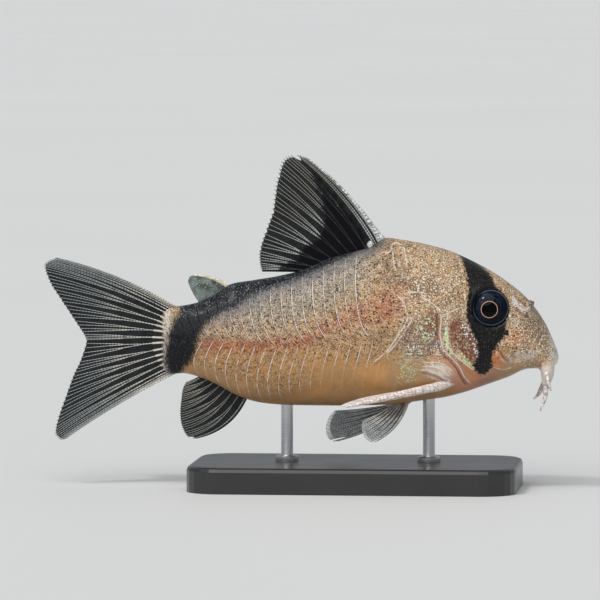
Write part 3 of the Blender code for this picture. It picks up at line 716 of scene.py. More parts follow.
@dataclass(frozen=True)
class SkinFinish:
    """Moist skin over bony plates: golden ground, dark specks, pale specks partly painted as highlights, bands, a
    rusty stripe and a metallic sheen.
    """

    golden: Colour = (0.42, 0.275, 0.145)
    # Tints of the ground in the order in which they are laid, each by the mesh's value of that name
    tints: tuple = (
        ("silver", (0.29, 0.25, 0.20)),
        ("sand", (0.46, 0.255, 0.105)),
        ("peach", (0.46, 0.27, 0.135)),
        ("rose", (0.50, 0.25, 0.18)),
        ("orange", (0.62, 0.25, 0.10)),
        ("umber", (0.20, 0.10, 0.04)),
        ("mauve", (0.25, 0.155, 0.115)),
        ("maroon", (0.20, 0.040, 0.028)),
        ("gold", (0.60, 0.49, 0.22)),
    )
    pale: Colour = (0.66, 0.59, 0.53)
    # Darker snout and nostril flap, and painted shade under the jaw
    shade: Colour = (0.13, 0.11, 0.09)
    warmth: Colour = (0.95, 0.80, 0.62)
    rust: Colour = (0.46, 0.115, 0.045)
    brown: Colour = (0.15, 0.09, 0.045)
    amber: Colour = (0.70, 0.46, 0.22)
    bark: Colour = (0.16, 0.105, 0.06)
    peat: Colour = (0.075, 0.045, 0.024)
    speck: Colour = (0.018, 0.012, 0.009)
    cream_and_highlight: Colour = (0.86, 0.79, 0.68)
    # Painted shadow just behind the plates' raised rims
    seam: Colour = (0.08, 0.04, 0.02)
    bone: Colour = (0.90, 0.88, 0.86)
    canal: Colour = (0.84, 0.77, 0.70)
    fold_shade: Colour = (0.24, 0.08, 0.04)
    web: Colour = (0.014, 0.016, 0.017)
    ray_foot: Colour = (0.74, 0.70, 0.63)
    ink: Colour = (0.004, 0.004, 0.005)
    blue_ink: Colour = (0.03, 0.045, 0.08)
    haze: Colour = (0.10, 0.12, 0.16)
    frost: Colour = (0.36, 0.40, 0.46)
    painted_glint: Colour = (0.46, 0.52, 0.60)
    blue_rim: Colour = (0.22, 0.24, 0.29)
    mask_grain: Colour = (0.20, 0.16, 0.12)
    greens: tuple[Colour, Colour] = ((0.42, 0.84, 0.56), (0.88, 0.90, 0.42))
    blues: tuple[Colour, Colour] = ((0.96, 1.0, 1.0), (0.40, 0.84, 0.86))

    # Noises: how fine, how many finer layers, and how strong those are
    cloud: Grain = (420.0, 3.0, 0.6)
    fine: Grain = (2600.0, 2.0, 0.6)
    grain: Grain = (7400.0, 1.0, 0.6)
    streaks: Grain = (2600.0, 2.0, 0.7)
    clumps: Grain = (1500.0, 3.0, 0.7)
    rust_edge: Grain = (1500.0, 3.0, 0.8)
    rust_flecks: Grain = (3400.0, 2.0, 0.5)
    plate_breaks: Grain = (1400.0, 3.0, 0.7)
    canal_breaks: Grain = (2300.0, 2.0, 0.7)
    mask_edge: Grain = (3600.0, 4.0, 0.85)
    saddle_edge: Grain = (2400.0, 3.0, 0.8)
    streak_stretch: float = 3.2
    speck_stretch: float = 1.25

    # Dots: how fine, their largest radius, the share of cells left bare, and how far they leave a grid
    fleck_glint_dots: tuple = (3500.0, 0.47, 0.05)
    specks: tuple = (3500.0, 0.44, 0.26, 0.95)
    dust: tuple = (5600.0, 0.44, 0.3)
    painted_glint_dots: tuple = (5200.0, 0.42, 0.45)
    glints: float = 3900.0
    plate_rim: Span = (0.885, 0.93, 0.955, 0.985)
    grain_depth: float = 0.00009

    def make(self) -> Material:
        """Builds the material."""
        return SkinLayers(self).build()


class SkinLayers(Recipe):
    """The layers of the skin's finish, each laid on what lies below, and the patterns that they share."""

    def __init__(self, look: SkinFinish) -> None:
        """Lays the patterns out, most of them along the leaning rings of the plates.

        Args:
            look: colours, and how fine each pattern is.
        """
        super().__init__("skin_finish")
        self.look = look
        self.object_place = self.place()
        _, across, up = self.split(self.object_place)
        station = self.attribute("station")
        row = self.maths("MULTIPLY", station, MM)
        self.combed = self.join(row, across, up)
        self.drawn_out = self.join(self.maths("MULTIPLY", row, look.streak_stretch), across, up)
        self.fine = self.noise(self.object_place, *look.fine)
        self.grain = self.noise(self.combed, *look.grain)
        self.streaks = self.noise(self.drawn_out, *look.streaks)
        self.clump = self.noise(self.combed, *look.clumps)
        self.speckled = self.attribute("speckled")
        self.plated = self.attribute("armour")

        # Pale flares over the head, partly pale granules and partly painted highlights, and dark specks over the flank
        light = self.dots(self.join(row, up, across), *look.fleck_glint_dots)
        self.flare = self.maths("MAXIMUM", self.both(light, 0.9), self.band(self.grain, 0.57, 0.66))
        stretched = self.join(self.maths("MULTIPLY", row, look.speck_stretch), across, up)
        self.dark = self.dots(stretched, *look.specks)

        # The share of a plate that has gone by, and its broken rear rim
        self.share = self.repeat(self.maths("SUBTRACT", FORM.scute_first, station), FORM.scute_pitch)
        broken = self.band(self.noise(self.combed, *look.plate_breaks), 0.36, 0.58, 0.12, 1.0)
        self.rim = self.both(self.hoop(self.share, look.plate_rim), self.plated, broken)

    def ground(self) -> Socket:
        """Golden head, silvery upper flank, sandy lower flank, peach belly, and tints about head and fins.

        Returns:
            The ground colour.
        """
        look = self.look
        pallor = self.maths("ADD", self.attribute("pallor"), self.swing(self.clump, 1.6))
        # The last layer darkens the snout and nostril flap and paints shade under the jaw
        colour = self.layered(look.golden, *((tint, self.attribute(name)) for name, tint in look.tints),
                              (look.pale, self.band(pallor, 0.15, 0.85)), (look.shade, self.attribute("dim")))
        cloud = self.noise(self.object_place, *look.cloud)
        return self.mix(self.band(cloud, 0.35, 0.7, 0.0, 0.3), colour, look.warmth, "OVERLAY")

    def stripe(self) -> Socket:
        """The rusty stripe down the side line, broken into flecks.

        Returns:
            The share of rust.
        """
        ragged = self.swing(self.noise(self.combed, *self.look.rust_edge), 2.4)
        gap = self.maths("ADD", self.attribute("stripe"), ragged)
        flecks = self.band(self.noise(self.combed, *self.look.rust_flecks), 0.36, 0.56, 0.35, 1.0)
        return self.both(self.band(gap, 0.1, 1.3, 0.95, 0.0), self.attribute("rusty"), flecks)

    def speckle(self, colour: Socket, rusty: Socket) -> Socket:
        """Salt and pepper: streaks along the plates, fine grain, dark specks, and pale specks that are partly painted
        highlights.

        Args:
            colour: the colour so far.
            rusty: the share of rust, where streaks are fainter.

        Returns:
            The speckled colour.
        """
        look = self.look
        off_rust = self.maths("SUBTRACT", 1.0, self.both(rusty, 0.8))
        streaked = self.both(self.plated, 0.42, self.band(self.speckled, 0.0, 0.5), off_rust)
        dust = self.both(self.dots(self.combed, *look.dust), 0.8)
        return self.layered(
            colour,
            (look.brown, self.band(self.clump, 0.34, 0.5, 0.62, 0.0), self.speckled),
            (look.amber, self.band(self.clump, 0.52, 0.66, 0.0, 0.5), self.speckled),
            (look.cream_and_highlight, self.band(self.streaks, 0.52, 0.68), streaked),
            (look.bark, self.fade(self.streaks, 0.32, 0.46), streaked),
            # Pale flecks of the granular skin, partly painted highlights
            (look.cream_and_highlight, self.flare, self.attribute("fleck_glint_share")),
            (look.peat, self.fade(self.grain, 0.36, 0.46), self.speckled, 0.8),
            (look.speck, self.maths("MAXIMUM", self.dark, dust), self.speckled))

    def lines(self, colour: Socket) -> Socket:
        """Light rear rims of the plates and the painted shadow behind them, canals, painted shade along the folds, and
        the feet of the tail's rays.

        Args:
            colour: the colour so far.

        Returns:
            The colour with its lines.
        """
        look = self.look
        canal = self.fade(self.maths("ABSOLUTE", self.attribute("pale_line")), 0.03, 0.11)
        dashes = self.band(self.noise(self.object_place, *look.canal_breaks), 0.34, 0.52, 0.15, 0.75)
        feet, tailed = self.attribute("feet"), self.attribute("tailed")
        return self.layered(
            colour,
            # Painted shadow just behind each plate's raised rim
            (look.seam, self.fade(self.share, 0.0, 0.09), self.plated, self.band(self.streaks, 0.35, 0.6), 0.5),
            (look.bone, self.rim, 0.95),
            (look.canal, canal, dashes),
            # Painted shade along the sunken folds
            (look.fold_shade, self.fade(self.attribute("fold_near"), 0.03, 0.2), 0.65),
            (look.web, self.band(feet, 0.07, 0.15), self.band(tailed, 0.45, 0.95)),
            (look.ray_foot, self.fade(feet, 0.06, 0.13), tailed, 0.8))

    def sheen(self) -> tuple[Socket, Socket]:
        """Metallic glitter of the gill cover and the breast behind it.

        Returns:
            The share of glitter, and its colour.
        """
        distance, luck = self.cells(self.object_place, self.look.glints)
        hue, light, _ = self.split(luck)
        glint = self.both(self.fade(distance, 0.36, 0.5), self.band(light, 0.2, 0.35))
        green = self.mix(self.band(hue, 0.2, 0.8), *self.look.greens)
        blue = self.mix(self.band(hue, 0.3, 0.8), *self.look.blues)
        return self.both(glint, self.attribute("glitter")), self.mix(self.attribute("cold"), green, blue)

    def bands(self, colour: Socket) -> Socket:
        """Black mask and saddle with ragged, specked edges, a faint blue cast along the plates, and painted glints
        along the top of the back.

        Args:
            colour: the colour so far.

        Returns:
            The colour with its bands.
        """
        look = self.look
        rough_edge = self.swing(self.noise(self.object_place, *look.mask_edge), 1.9)
        mask = self.band(self.maths("ADD", self.attribute("mask"), rough_edge), -0.12, 0.10)
        soft_edge = self.swing(self.noise(self.drawn_out, *look.saddle_edge), 2.4)
        inside = self.attribute("saddle")
        saddle = self.band(self.maths("ADD", inside, soft_edge), -0.35, 0.45)
        colour = self.over(colour, look.haze, self.band(inside, -1.9, 0.3, 0.0, 0.62), self.attribute("blued"))

        ridge = self.attribute("ridge")
        dusk = self.layered(
            look.ink,
            (look.blue_ink, self.band(self.streaks, 0.54, 0.7), 0.25),
            # Pale specks and painted blue-white glints, both strongest along the top of the back
            (look.frost, self.band(self.grain, 0.62, 0.70), self.scaled(ridge, 0.6, 0.1)),
            (look.painted_glint, self.dots(self.combed, *look.painted_glint_dots), self.scaled(ridge, 0.5, 0.07)),
            (look.blue_rim, self.rim, 0.14),
            (self.over(look.ink, look.mask_grain, self.flare, 0.2), mask, 0.9))
        return self.over(colour, dusk, self.maths("MAXIMUM", mask, saddle))

    def build(self) -> Material:
        """Lays every layer and returns the material."""
        rusty = self.stripe()
        colour = self.over(self.ground(), self.look.rust, rusty)
        colour = self.lines(self.speckle(colour, rusty))
        metal, glitter = self.sheen()
        colour = self.bands(self.over(colour, glitter, metal))
        rough = self.both(self.grain, self.scaled(self.speckled, 0.7, 0.15))
        relief = self.maths("ADD", self.both(self.fine, 0.4), rough)
        self.bump(self.maths("SUBTRACT", relief, self.both(self.dark, self.speckled, 0.4)), self.look.grain_depth)
        return self.finish(Base_Color=colour, Roughness=self.scaled(self.fine, 0.20, 0.30),
                           Metallic=self.both(metal, 0.25), Coat_Weight=0.08, Coat_Roughness=0.2, IOR=1.26)


def added(name: str, data: bpy.types.ID) -> Piece:
    """Puts a mesh, a camera or a lamp in the scene as an object, and returns it."""
    bpy.context.scene.collection.objects.link(thing := bpy.data.objects.new(name, data))
    return thing


def to_object(name: str, bm: Draft, material: Material) -> Piece:
    """Writes a bmesh, drawn in millimetres, as a smooth piece in metres.

    Args:
        name: the piece's name.
        bm: the drawn mesh, freed here.
        material: its finish.

    Returns:
        The piece, at the origin.
    """
    bm.transform(Matrix.Scale(MM, 4))
    mesh = bpy.data.meshes.new(name)
    bm.to_mesh(mesh)
    bm.free()
    if "turn" in mesh.attributes:
        mesh.attributes.remove(mesh.attributes["turn"])
    mesh.shade_smooth()
    mesh.materials.append(material)
    return added(name, mesh)


def settle(piece: Piece, slot: Slot, *nodes: str) -> None:
    """Rides a piece on the fish, hides the solids it stands for, and reports it with their names.

    Args:
        piece: the finished piece.
        slot: its material slot; not used.
        nodes: the solids it stands for.
    """
    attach(piece, ROOT)
    if nodes:
        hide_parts(*nodes)
    triangles = sum(len(face.vertices) - 2 for face in piece.data.polygons)
    LOG.info("%s: %d triangles, stands for %s", piece.name, triangles, ", ".join(nodes) or "nothing")


def points_of(mesh: Mesh) -> np.ndarray:
    """The mesh's points, one a row."""
    points = np.empty(len(mesh.vertices) * 3)
    mesh.vertices.foreach_get("co", points)
    return points.reshape(-1, 3)


def move_points(mesh: Mesh, points: np.ndarray) -> None:
    """Puts the mesh's points elsewhere."""
    mesh.vertices.foreach_set("co", points.astype(np.float32).ravel())
    mesh.update()


def add_value(mesh: Mesh, name: str, values: np.ndarray) -> None:
    """Adds a named value to the mesh's points."""
    mesh.attributes.new(name, "FLOAT", "POINT").data.foreach_set("value", values.astype(np.float32))


def tube(bm: Draft, path: np.ndarray, radii: np.ndarray, sides: int = 10, steps: int = 12,
         flat: tuple[Vector, float] | None = None, travelled: float = 0.0) -> None:
    """Adds a closed round or flattened tube along a smooth path.

    Args:
        bm: the mesh it is added to; a value named along, where it has one, gets the distance along the tube.
        path: the points of the path.
        radii: the radius at each point.
        sides: how many sides it has.
        steps: how many rings it is drawn in, after the first.
        flat: a direction, and the share of the radius that the tube keeps along it.
        travelled: the distance at the tube's start.
    """
    layers = bm.verts.layers.float
    turn = layers.get("turn") or layers.new("turn")
    along = layers.get("along")
    places = np.linspace(0, len(path) - 1, steps + 1)
    centres = through(path, places)
    widths = through(np.asarray(radii, float)[:, None], np.linspace(0, len(radii) - 1, steps + 1))[:, 0]
    ahead = np.gradient(centres, axis=0)
    gone = travelled + np.concatenate([[0.0], np.cumsum(np.linalg.norm(np.diff(centres, axis=0), axis=1))])
    verts = [vert for vert in bmesh.ops.create_circle(bm, cap_ends=True, segments=sides, radius=1.0)["verts"]
             if vert.is_valid]
    for vert in verts:
        vert[turn] = math.atan2(vert.co.y, vert.co.x)
    edges = list({edge for vert in verts for edge in vert.link_edges})
    side = Vector((0.31, 0.95, 0.05))
    for ring in range(steps + 1):
        if ring:
            grown = bmesh.ops.extrude_edge_only(bm, edges=edges)["geom"]
            verts = [item for item in grown if isinstance(item, bmesh.types.BMVert)]
            edges = [item for item in grown if isinstance(item, bmesh.types.BMEdge)]
        forward = Vector(ahead[ring]).normalized()
        if flat:
            thin = (flat[0] - flat[0].project(forward)).normalized()
            wide, thin = forward.cross(thin), thin * flat[1]
        else:
            side = (side - side.project(forward)).normalized()
            wide, thin = side, forward.cross(side)
        for vert in verts:
            if along:
                vert[along] = gone[ring]
            reach = wide * math.cos(vert[turn]) + thin * math.sin(vert[turn])
            vert.co = Vector(centres[ring]) + reach * widths[ring]
    bmesh.ops.contextual_create(bm, geom=edges)


def ball(bm: Draft, centre: Point3, radii: Point3, rings: int = 16, segments: int = 24) -> None:
    """Adds an ellipsoid."""
    verts = bmesh.ops.create_uvsphere(bm, u_segments=segments, v_segments=rings, radius=1.0)["verts"]
    bmesh.ops.scale(bm, verts=verts, vec=radii)
    bmesh.ops.translate(bm, verts=verts, vec=centre)


@dataclass
class Skin:
    """The one skin over head, torso, tail and gill covers, with lips, mouth corners and nostrils."""

    half_columns: int = 96
    head_step: float = 0.102
    scute_shares: tuple = (0.0, 0.14, 0.28, 0.42, 0.56, 0.68, 0.79, 0.87, 0.925, 0.96, 0.985)
    scute_lift: float = 0.15
    scute_crest: float = 0.96
    neck: float = 24.9
    muzzle_voxel: float = 0.094
    muzzle_smoothing: int = 3
    lips: tuple = (((29.2, 0.0, 14.95), (0.74, 1.55, 0.72)), ((28.35, 0.0, 13.95), (0.55, 1.45, 0.42)))
    corner: tuple = ((28.55, 1.45, 15.6), (28.7, 1.75, 14.3), (28.74, 1.9, 13.2), (28.62, 1.95, 12.4))
    corner_radii: tuple = (0.75, 0.76, 0.64, 0.48)
    nostril: tuple = ((26.0, 1.25, 20.0), (26.5, 1.5, 20.95), (26.8, 1.58, 21.72))
    nostril_radii: tuple = (0.6, 0.48, 0.37)
    # The lower edge of the silvery flank: places along the fish, and its height there
    silver_edge: tuple = ((-8.0, 0.0, 5.0, 9.0), (16.6, 18.2, 20.6, 23.2))

    def turns(self) -> np.ndarray:
        """Angles round a ring at about even steps of a typical ring, from belly over the back to belly."""
        turn = np.linspace(0, np.pi, 4000)
        ring = FORM.skin(np.full_like(turn, 4.0), turn)
        length = np.concatenate([[0], np.cumsum(np.linalg.norm(np.diff(ring[:, 1:], axis=0), axis=1))])
        half = np.interp(np.linspace(0, length[-1], self.half_columns + 1), length, turn)
        return np.concatenate([-half[:0:-1], half])

    def rows(self) -> np.ndarray:
        """Places of the rings, close together where a plate ends."""
        head = np.arange(self.neck, FORM.scute_first + self.head_step / 2, -self.head_step)
        plates = [FORM.scute_first - (number + share) * FORM.scute_pitch
                  for number in range(FORM.scute_count) for share in self.scute_shares]
        plates = [x for x in plates if x > -15.9]
        root = through(FORM.knots, np.linspace(24.05, 26.0, 12))[:, 0]
        return np.concatenate([head, plates, root])

    def flesh(self) -> Mesh:
        """The body from the neck of the snout back to the root of the tail fin, as a welded grid."""
        rows, turns = self.rows(), self.turns()
        bm = bmesh.new()
        bmesh.ops.create_grid(bm, x_segments=len(rows) - 1, y_segments=len(turns) - 1, size=0.5)
        mesh = bpy.data.meshes.new("flesh")
        bm.to_mesh(mesh)
        bm.free()
        grid = points_of(mesh)
        row = np.rint((grid[:, 0] + 0.5) * (len(rows) - 1)).astype(int)
        column = np.rint((grid[:, 1] + 0.5) * (len(turns) - 1)).astype(int)
        move_points(mesh, FORM.skin(rows[row], turns[column]))
        add_value(mesh, "station", rows[row])
        add_value(mesh, "level", np.cos(turns[column]))
        bm = bmesh.new()
        bm.from_mesh(mesh)
        bmesh.ops.remove_doubles(bm, verts=bm.verts, dist=1e-6)
        bm.to_mesh(mesh)
        bm.free()
        return mesh

    def muzzle(self) -> Mesh:
        """The snout's front with lips, mouth corners and nostril flaps grown into one surface."""
        bm = bmesh.new()
        places = np.linspace(self.neck - 1.2, 29.99, 44)
        turns = np.linspace(-np.pi, np.pi, 73)
        bmesh.ops.create_grid(bm, x_segments=len(places) - 1, y_segments=len(turns) - 1, size=0.5)
        rows = np.array([round((vert.co.x + 0.5) * (len(places) - 1)) for vert in bm.verts])
        columns = np.array([round((vert.co.y + 0.5) * (len(turns) - 1)) for vert in bm.verts])
        for vert, point in zip(bm.verts, FORM.skin(places[rows], turns[columns])):
            vert.co = point
        bmesh.ops.remove_doubles(bm, verts=bm.verts, dist=1e-5)
        bmesh.ops.holes_fill(bm, edges=[edge for edge in bm.edges if edge.is_boundary])
        for centre, radii in self.lips:
            ball(bm, centre, radii)
        for side, _ in SIDES:
            mirrored = (1, side, 1)
            tube(bm, np.array(self.corner) * mirrored, self.corner_radii, 14, 10)
            ball(bm, tuple(np.array(self.corner[-1]) * mirrored), (0.47, 0.47, 0.42))
            tube(bm, np.array(self.nostril) * mirrored, self.nostril_radii, 14, 6)
        bmesh.ops.recalc_face_normals(bm, faces=bm.faces)
        raw = bpy.data.meshes.new("muzzle")
        bm.to_mesh(raw)
        bm.free()
        shape = added("muzzle", raw)
        remesh = shape.modifiers.new("grow_together", "REMESH")
        remesh.mode = "VOXEL"
        remesh.voxel_size = self.muzzle_voxel
        graph = bpy.context.evaluated_depsgraph_get()
        mesh = bpy.data.meshes.new_from_object(shape.evaluated_get(graph))
        bpy.data.objects.remove(shape)
        bm = bmesh.new()
        bm.from_mesh(mesh)
        for _ in range(self.muzzle_smoothing):
            bmesh.ops.smooth_vert(bm, verts=bm.verts, factor=0.5, use_axis_x=True, use_axis_y=True, use_axis_z=True)
        everything = [*bm.verts, *bm.edges, *bm.faces]
        bmesh.ops.bisect_plane(bm, geom=everything, dist=1e-5, plane_co=(self.neck + 0.1, 0, 0), plane_no=(-1, 0, 0),
                               clear_outer=True)
        bm.to_mesh(mesh)
        bm.free()
        return mesh

    def grown_together(self) -> tuple[Mesh, np.ndarray, np.ndarray]:
        """Bridges flesh and muzzle.

        Returns:
            The closed mesh, each point's ring and its height on that ring.
        """
        flesh, muzzle = self.flesh(), self.muzzle()
        values = []
        for name in ("station", "level"):
            found = np.empty(len(flesh.vertices), np.float32)
            flesh.attributes[name].data.foreach_get("value", found)
            values.append(found.astype(float))
            flesh.attributes.remove(flesh.attributes[name])
        front = points_of(muzzle)
        back, belly, _, middle, _, _ = FORM.section(front[:, 0])
        reach = np.where(front[:, 2] > middle, back - middle, middle - belly)
        values[0] = np.concatenate([values[0], front[:, 0]])
        values[1] = np.concatenate([values[1], np.clip((front[:, 2] - middle) / reach, -1, 1)])
        bm = bmesh.new()
        bm.from_mesh(flesh)
        bm.from_mesh(muzzle)
        open_edges = [edge for edge in bm.edges if edge.is_boundary]
        neck = [edge for edge in open_edges if edge.verts[0].co.x > self.neck - 1]
        bmesh.ops.bridge_loops(bm, edges=neck)
        root = [edge for edge in open_edges if edge.verts[0].co.x < 0]
        bmesh.ops.holes_fill(bm, edges=root)
        bmesh.ops.recalc_face_normals(bm, faces=bm.faces)
        mesh = bpy.data.meshes.new("skin")
        bm.to_mesh(mesh)
        bm.free()
        return mesh, values[0], values[1]

    def relief(self, fields: Fields) -> np.ndarray:
        """How far each point stands out of or sinks into the smooth skin.

        Args:
            fields: the skin's distances and shares.

        Returns:
            The lift of each point, in millimetres.
        """
        share = ((FORM.scute_first - fields.station) / FORM.scute_pitch) % 1.0
        crest = self.scute_crest
        ramp = np.where(share < crest, share / crest, (1 - share) / (1 - crest))
        lift = self.scute_lift * ramp * fields.armour
        lift += 0.06 * hump(fields.feet, 0.10) * fields.tailed

        # The eye sits in a cup with a low, soft rim
        eye = fields.eye
        lift += fields.flank * (0.10 * hump(eye - 2.55, 0.33) - 0.24 * eased(2.32, 2.05, eye))
        lift -= fields.flank * 1.15 * eased(2.10, 1.5, eye)

        # The gill cover is a raised plate, canals stand out and folds sink in
        lift += 0.12 * eased(-0.05, 0.35, fields.cover)
        lift += 0.07 * hump(fields.pale, 0.16)
        lift -= 0.16 * hump(fields.groove, 0.14)
        return lift + fields.dabs("relief")

    def colours(self, mesh: Mesh, fields: Fields) -> None:
        """Writes what the finish reads.

        Args:
            mesh: the skin.
            fields: its distances and shares.
        """
        along, up = fields.spots.T
        height, low = fields.height, -fields.height
        trunk = eased(13.0, 9.0, along) * eased(-17.5, -15.5, along)
        head = eased(9.5, 13.5, along)
        snout = eased(23.8, 25.8, along)
        smooth = eased(15.8, 13.4, up) * eased(-3.0, 5.0, along)
        opercle, muscle = fields.dabs("opercle"), fields.dabs("muscle")
        silvery = eased(11.0, 6.0, along) * eased(-12.0, -5.0, along)
        silvery = silvery * eased(0.0, 3.2, up - np.interp(along, *self.silver_edge))

        # Dark specks thin out on the snout's tip, the fin muscle, the throat and the smooth breast
        specks = eased(0.72, 0.45, low) * (0.75 + 0.25 * trunk) * eased(30.2, 28.6, along)
        specks *= (1 - 0.85 * fields.dabs("bare")) * (1 - 0.6 * eased(0.35, 0.6, low) * head)
        specks = np.clip(specks + 0.4 * trunk * eased(6.0, 0.0, along) * eased(0.97, 0.6, low), 0, 1)
        specks *= (1 - 0.93 * smooth) * (1 - 0.35 * eased(17.5, 14.5, up) * trunk)

        # Pale flecks, partly pale grain and partly painted highlights, lie on the head, the upper flank, the lips and
        # the fin muscle
        grain = 0.95 * head * eased(0.4, 0.0, low) + 0.35 * trunk * eased(-0.3, 0.3, height)
        grain = np.clip(grain + 0.7 * snout * eased(13.2, 14.4, up) + 0.6 * muscle, 0, 1)
        grain *= (1 - 0.8 * opercle) * (1 - 0.6 * fields.dabs("shoulder"))
        grain *= 1 - 0.45 * eased(25.0, 26.5, along) * eased(17.5, 19.5, up)

        # Tail root, lips and the chin under them are pale
        pallor = 0.8 * eased(-14.4, -15.4, along) + 0.75 * eased(28.0, 29.2, along) + 0.5 * muscle
        pallor = pallor + eased(14.6, 13.4, up) * eased(26.2, 27.4, along) + fields.dabs("pallor")

        # The snout and nostril flap are darker, and the underside behind the jaw gets painted shade
        dim = 0.55 * eased(24.8, 26.8, along) * eased(15.2, 18.0, up) * eased(29.6, 27.8, along)
        dim = dim * (1 - 0.7 * fields.dabs("nostril")) + eased(26.3, 26.5, along) * eased(21.0, 21.3, up)
        # Painted shade on the underside of the head and throat
        dim = dim + 0.3 * eased(0.55, 0.9, low) * eased(18.0, 22.0, along) * eased(28.6, 27.0, along)

        values = {
            "station": fields.station,
            "armour": fields.armour * (1 - 0.85 * smooth),
            "mask": np.clip(fields.mask, -2, 2),
            "saddle": np.clip(fields.saddle, -2, 3),
            "blued": eased(-12.5, -9.0, along),
            "stripe": fields.stripe - 0.85 * eased(3.5, 8.0, along),
            "rusty": eased(13.5, 9.5, along) * (0.7 + 0.3 * eased(3.0, -1.0, along)),
            "silver": trunk * silvery,
            "sand": trunk * eased(17.6, 15.2, up),
            "peach": np.maximum(eased(0.25, 0.75, low) * eased(8.0, 12.0, along), eased(0.55, 0.95, low)),
            "rose": 0.7 * np.clip(fields.dabs("rose"), 0, 1),
            "orange": np.clip(fields.dabs("orange"), 0, 1),
            "umber": np.clip(fields.dabs("umber"), 0, 1),
            "mauve": fields.dabs("mauve"),
            "maroon": 0.92 * np.clip(opercle + fields.dabs("maroon"), 0, 1),
            "pallor": np.clip(pallor, 0, 1),
            "gold": 0.7 * np.clip(fields.dabs("gold"), 0, 1),
            "dim": np.clip(dim, 0, 1),
            # The top of the back, where the bands get more pale specks and painted glints
            "ridge": eased(0.5, 0.85, height) * eased(10.0, 7.0, along),
            "speckled": specks,
            "fleck_glint_share": grain,
            "pale_line": np.clip(fields.pale, -1, 1),
            "fold_near": np.abs(fields.groove),
            "feet": fields.feet,
            "tailed": fields.tailed,
            "glitter": np.clip(fields.dabs("glitter"), 0, 1),
            "cold": np.clip(fields.dabs("cold"), 0, 1),
        }
        for name, found in values.items():
            add_value(mesh, name, found)

    def build(self) -> None:
        """Models and dresses the skin."""
        mesh, station, height = self.grown_together()
        points = points_of(mesh)
        points[:, 1] *= 1 - 0.9 * eased(-14.7, -16.9, points[:, 0])
        move_points(mesh, points)
        fields = Fields(points, station, height)
        normals = np.empty(len(mesh.vertices) * 3)
        mesh.vertex_normals.foreach_get("vector", normals)
        points = points + normals.reshape(-1, 3) * self.relief(fields)[:, None]
        move_points(mesh, points * MM)
        self.colours(mesh, fields)
        mesh.shade_smooth()
        mesh.materials.append(SkinFinish().make())
        skin = added("skin", mesh)
        settle(skin, Slot.SKIN, "head", "torso", "tail", "gill_cover_R", "gill_cover_L")


@dataclass(frozen=True)
class EyeFinish:
    """A wet, clear cornea over a blue-black iris, a copper ring and a black pupil."""

    iris: Colour = (0.003, 0.004, 0.008)
    light: Colour = (0.018, 0.030, 0.055)
    pupil: Colour = (0.001, 0.001, 0.0015)
    copper: Colour = (0.70, 0.42, 0.30)
    rim: Colour = (0.12, 0.16, 0.23)
    cloud: Grain = (1100.0, 3.0, 0.6)
    outer_zone: Span = (1.4, 1.55, 1.6, 1.75)
    inner_zone: Span = (1.04, 1.1, 1.14, 1.24)
    copper_ring: Span = (0.895, 0.92, 0.955, 0.985)
    edge: Span = (1.93, 2.0, 2.04, 2.1)

    def make(self) -> Material:
        """Builds the material; radius is read round the ball's middle, and inner round the pupil's."""
        mix = Recipe("eye_finish")
        radius, inner, lit = mix.attribute("radius"), mix.attribute("inner"), mix.attribute("lit")
        cloud = mix.noise(mix.place(), *self.cloud)
        colour = mix.layered(
            self.iris,
            # Painted highlight: the lighter cloud and outer zone are strongest at the top and rear; the inner zone is
            # a lighter ring all round
            (self.light, mix.band(cloud, 0.4, 0.7), lit),
            (self.light, mix.hoop(radius, self.outer_zone), 0.5, lit),
            (self.light, mix.hoop(radius, self.inner_zone), 0.35),
            (self.pupil, mix.fade(inner, 0.90, 0.95)),
            (self.copper, mix.hoop(inner, self.copper_ring)),
            (self.rim, mix.hoop(radius, self.edge), 0.7))
        return mix.finish(Base_Color=colour, Roughness=0.10, Coat_Weight=0.12, Coat_Roughness=0.03, IOR=1.12)


@dataclass
class Eye:
    """One eye: a flattened ball turned a little forward and up, as its solid is."""

    x: float = 22.45
    z: float = 21.15
    radius: float = 2.28
    depth: float = 1.45
    sunk: float = 0.85
    yaw: float = 8.0
    roll: float = 12.0
    gaze: Point2 = (-0.2, -0.3)
    shift: Point2 = (-0.16, -0.08)
    rings: int = 48
    segments: int = 72

    def build(self, side: int, letter: str, material: Material) -> None:
        """Models one eye.

        Args:
            side: -1 on the right of the fish, 1 on the left.
            letter: R or L.
            material: the eye's finish.
        """
        bm = bmesh.new()
        radius = bm.verts.layers.float.new("radius")
        inner = bm.verts.layers.float.new("inner")
        lit = bm.verts.layers.float.new("lit")
        bmesh.ops.create_uvsphere(bm, u_segments=self.segments, v_segments=self.rings, radius=1.0)
        for vert in bm.verts:
            vert[radius] = math.hypot(vert.co.x, vert.co.y) * self.radius
            off_x, off_z = vert.co.x * self.radius - self.gaze[0], vert.co.y * self.radius - self.gaze[1]
            vert[inner] = math.hypot(off_x, off_z)
            # Share of the iris's painted highlight: most at the top and rear
            vert[lit] = max(0.0, 0.35 + 0.5 * vert.co.y - 0.35 * vert.co.x)
        bmesh.ops.rotate(bm, verts=bm.verts, matrix=Matrix.Rotation(math.radians(90), 3, "X"))
        bmesh.ops.scale(bm, verts=bm.verts, vec=(self.radius, self.depth, self.radius))
        turned = Matrix.Rotation(math.radians(-self.yaw * side), 3, "Z") @ Matrix.Rotation(
            math.radians(self.roll * side), 3, "X")
        bmesh.ops.rotate(bm, verts=bm.verts, matrix=turned)
        depth = side * (FORM.flank(self.x, self.z) - self.sunk)
        bmesh.ops.translate(bm, verts=bm.verts, vec=(self.x + self.shift[0], depth, self.z + self.shift[1]))
        bmesh.ops.recalc_face_normals(bm, faces=bm.faces)
        settle(to_object(f"eyeball_{letter}", bm, material), Slot.EYE, f"eye_{letter}")


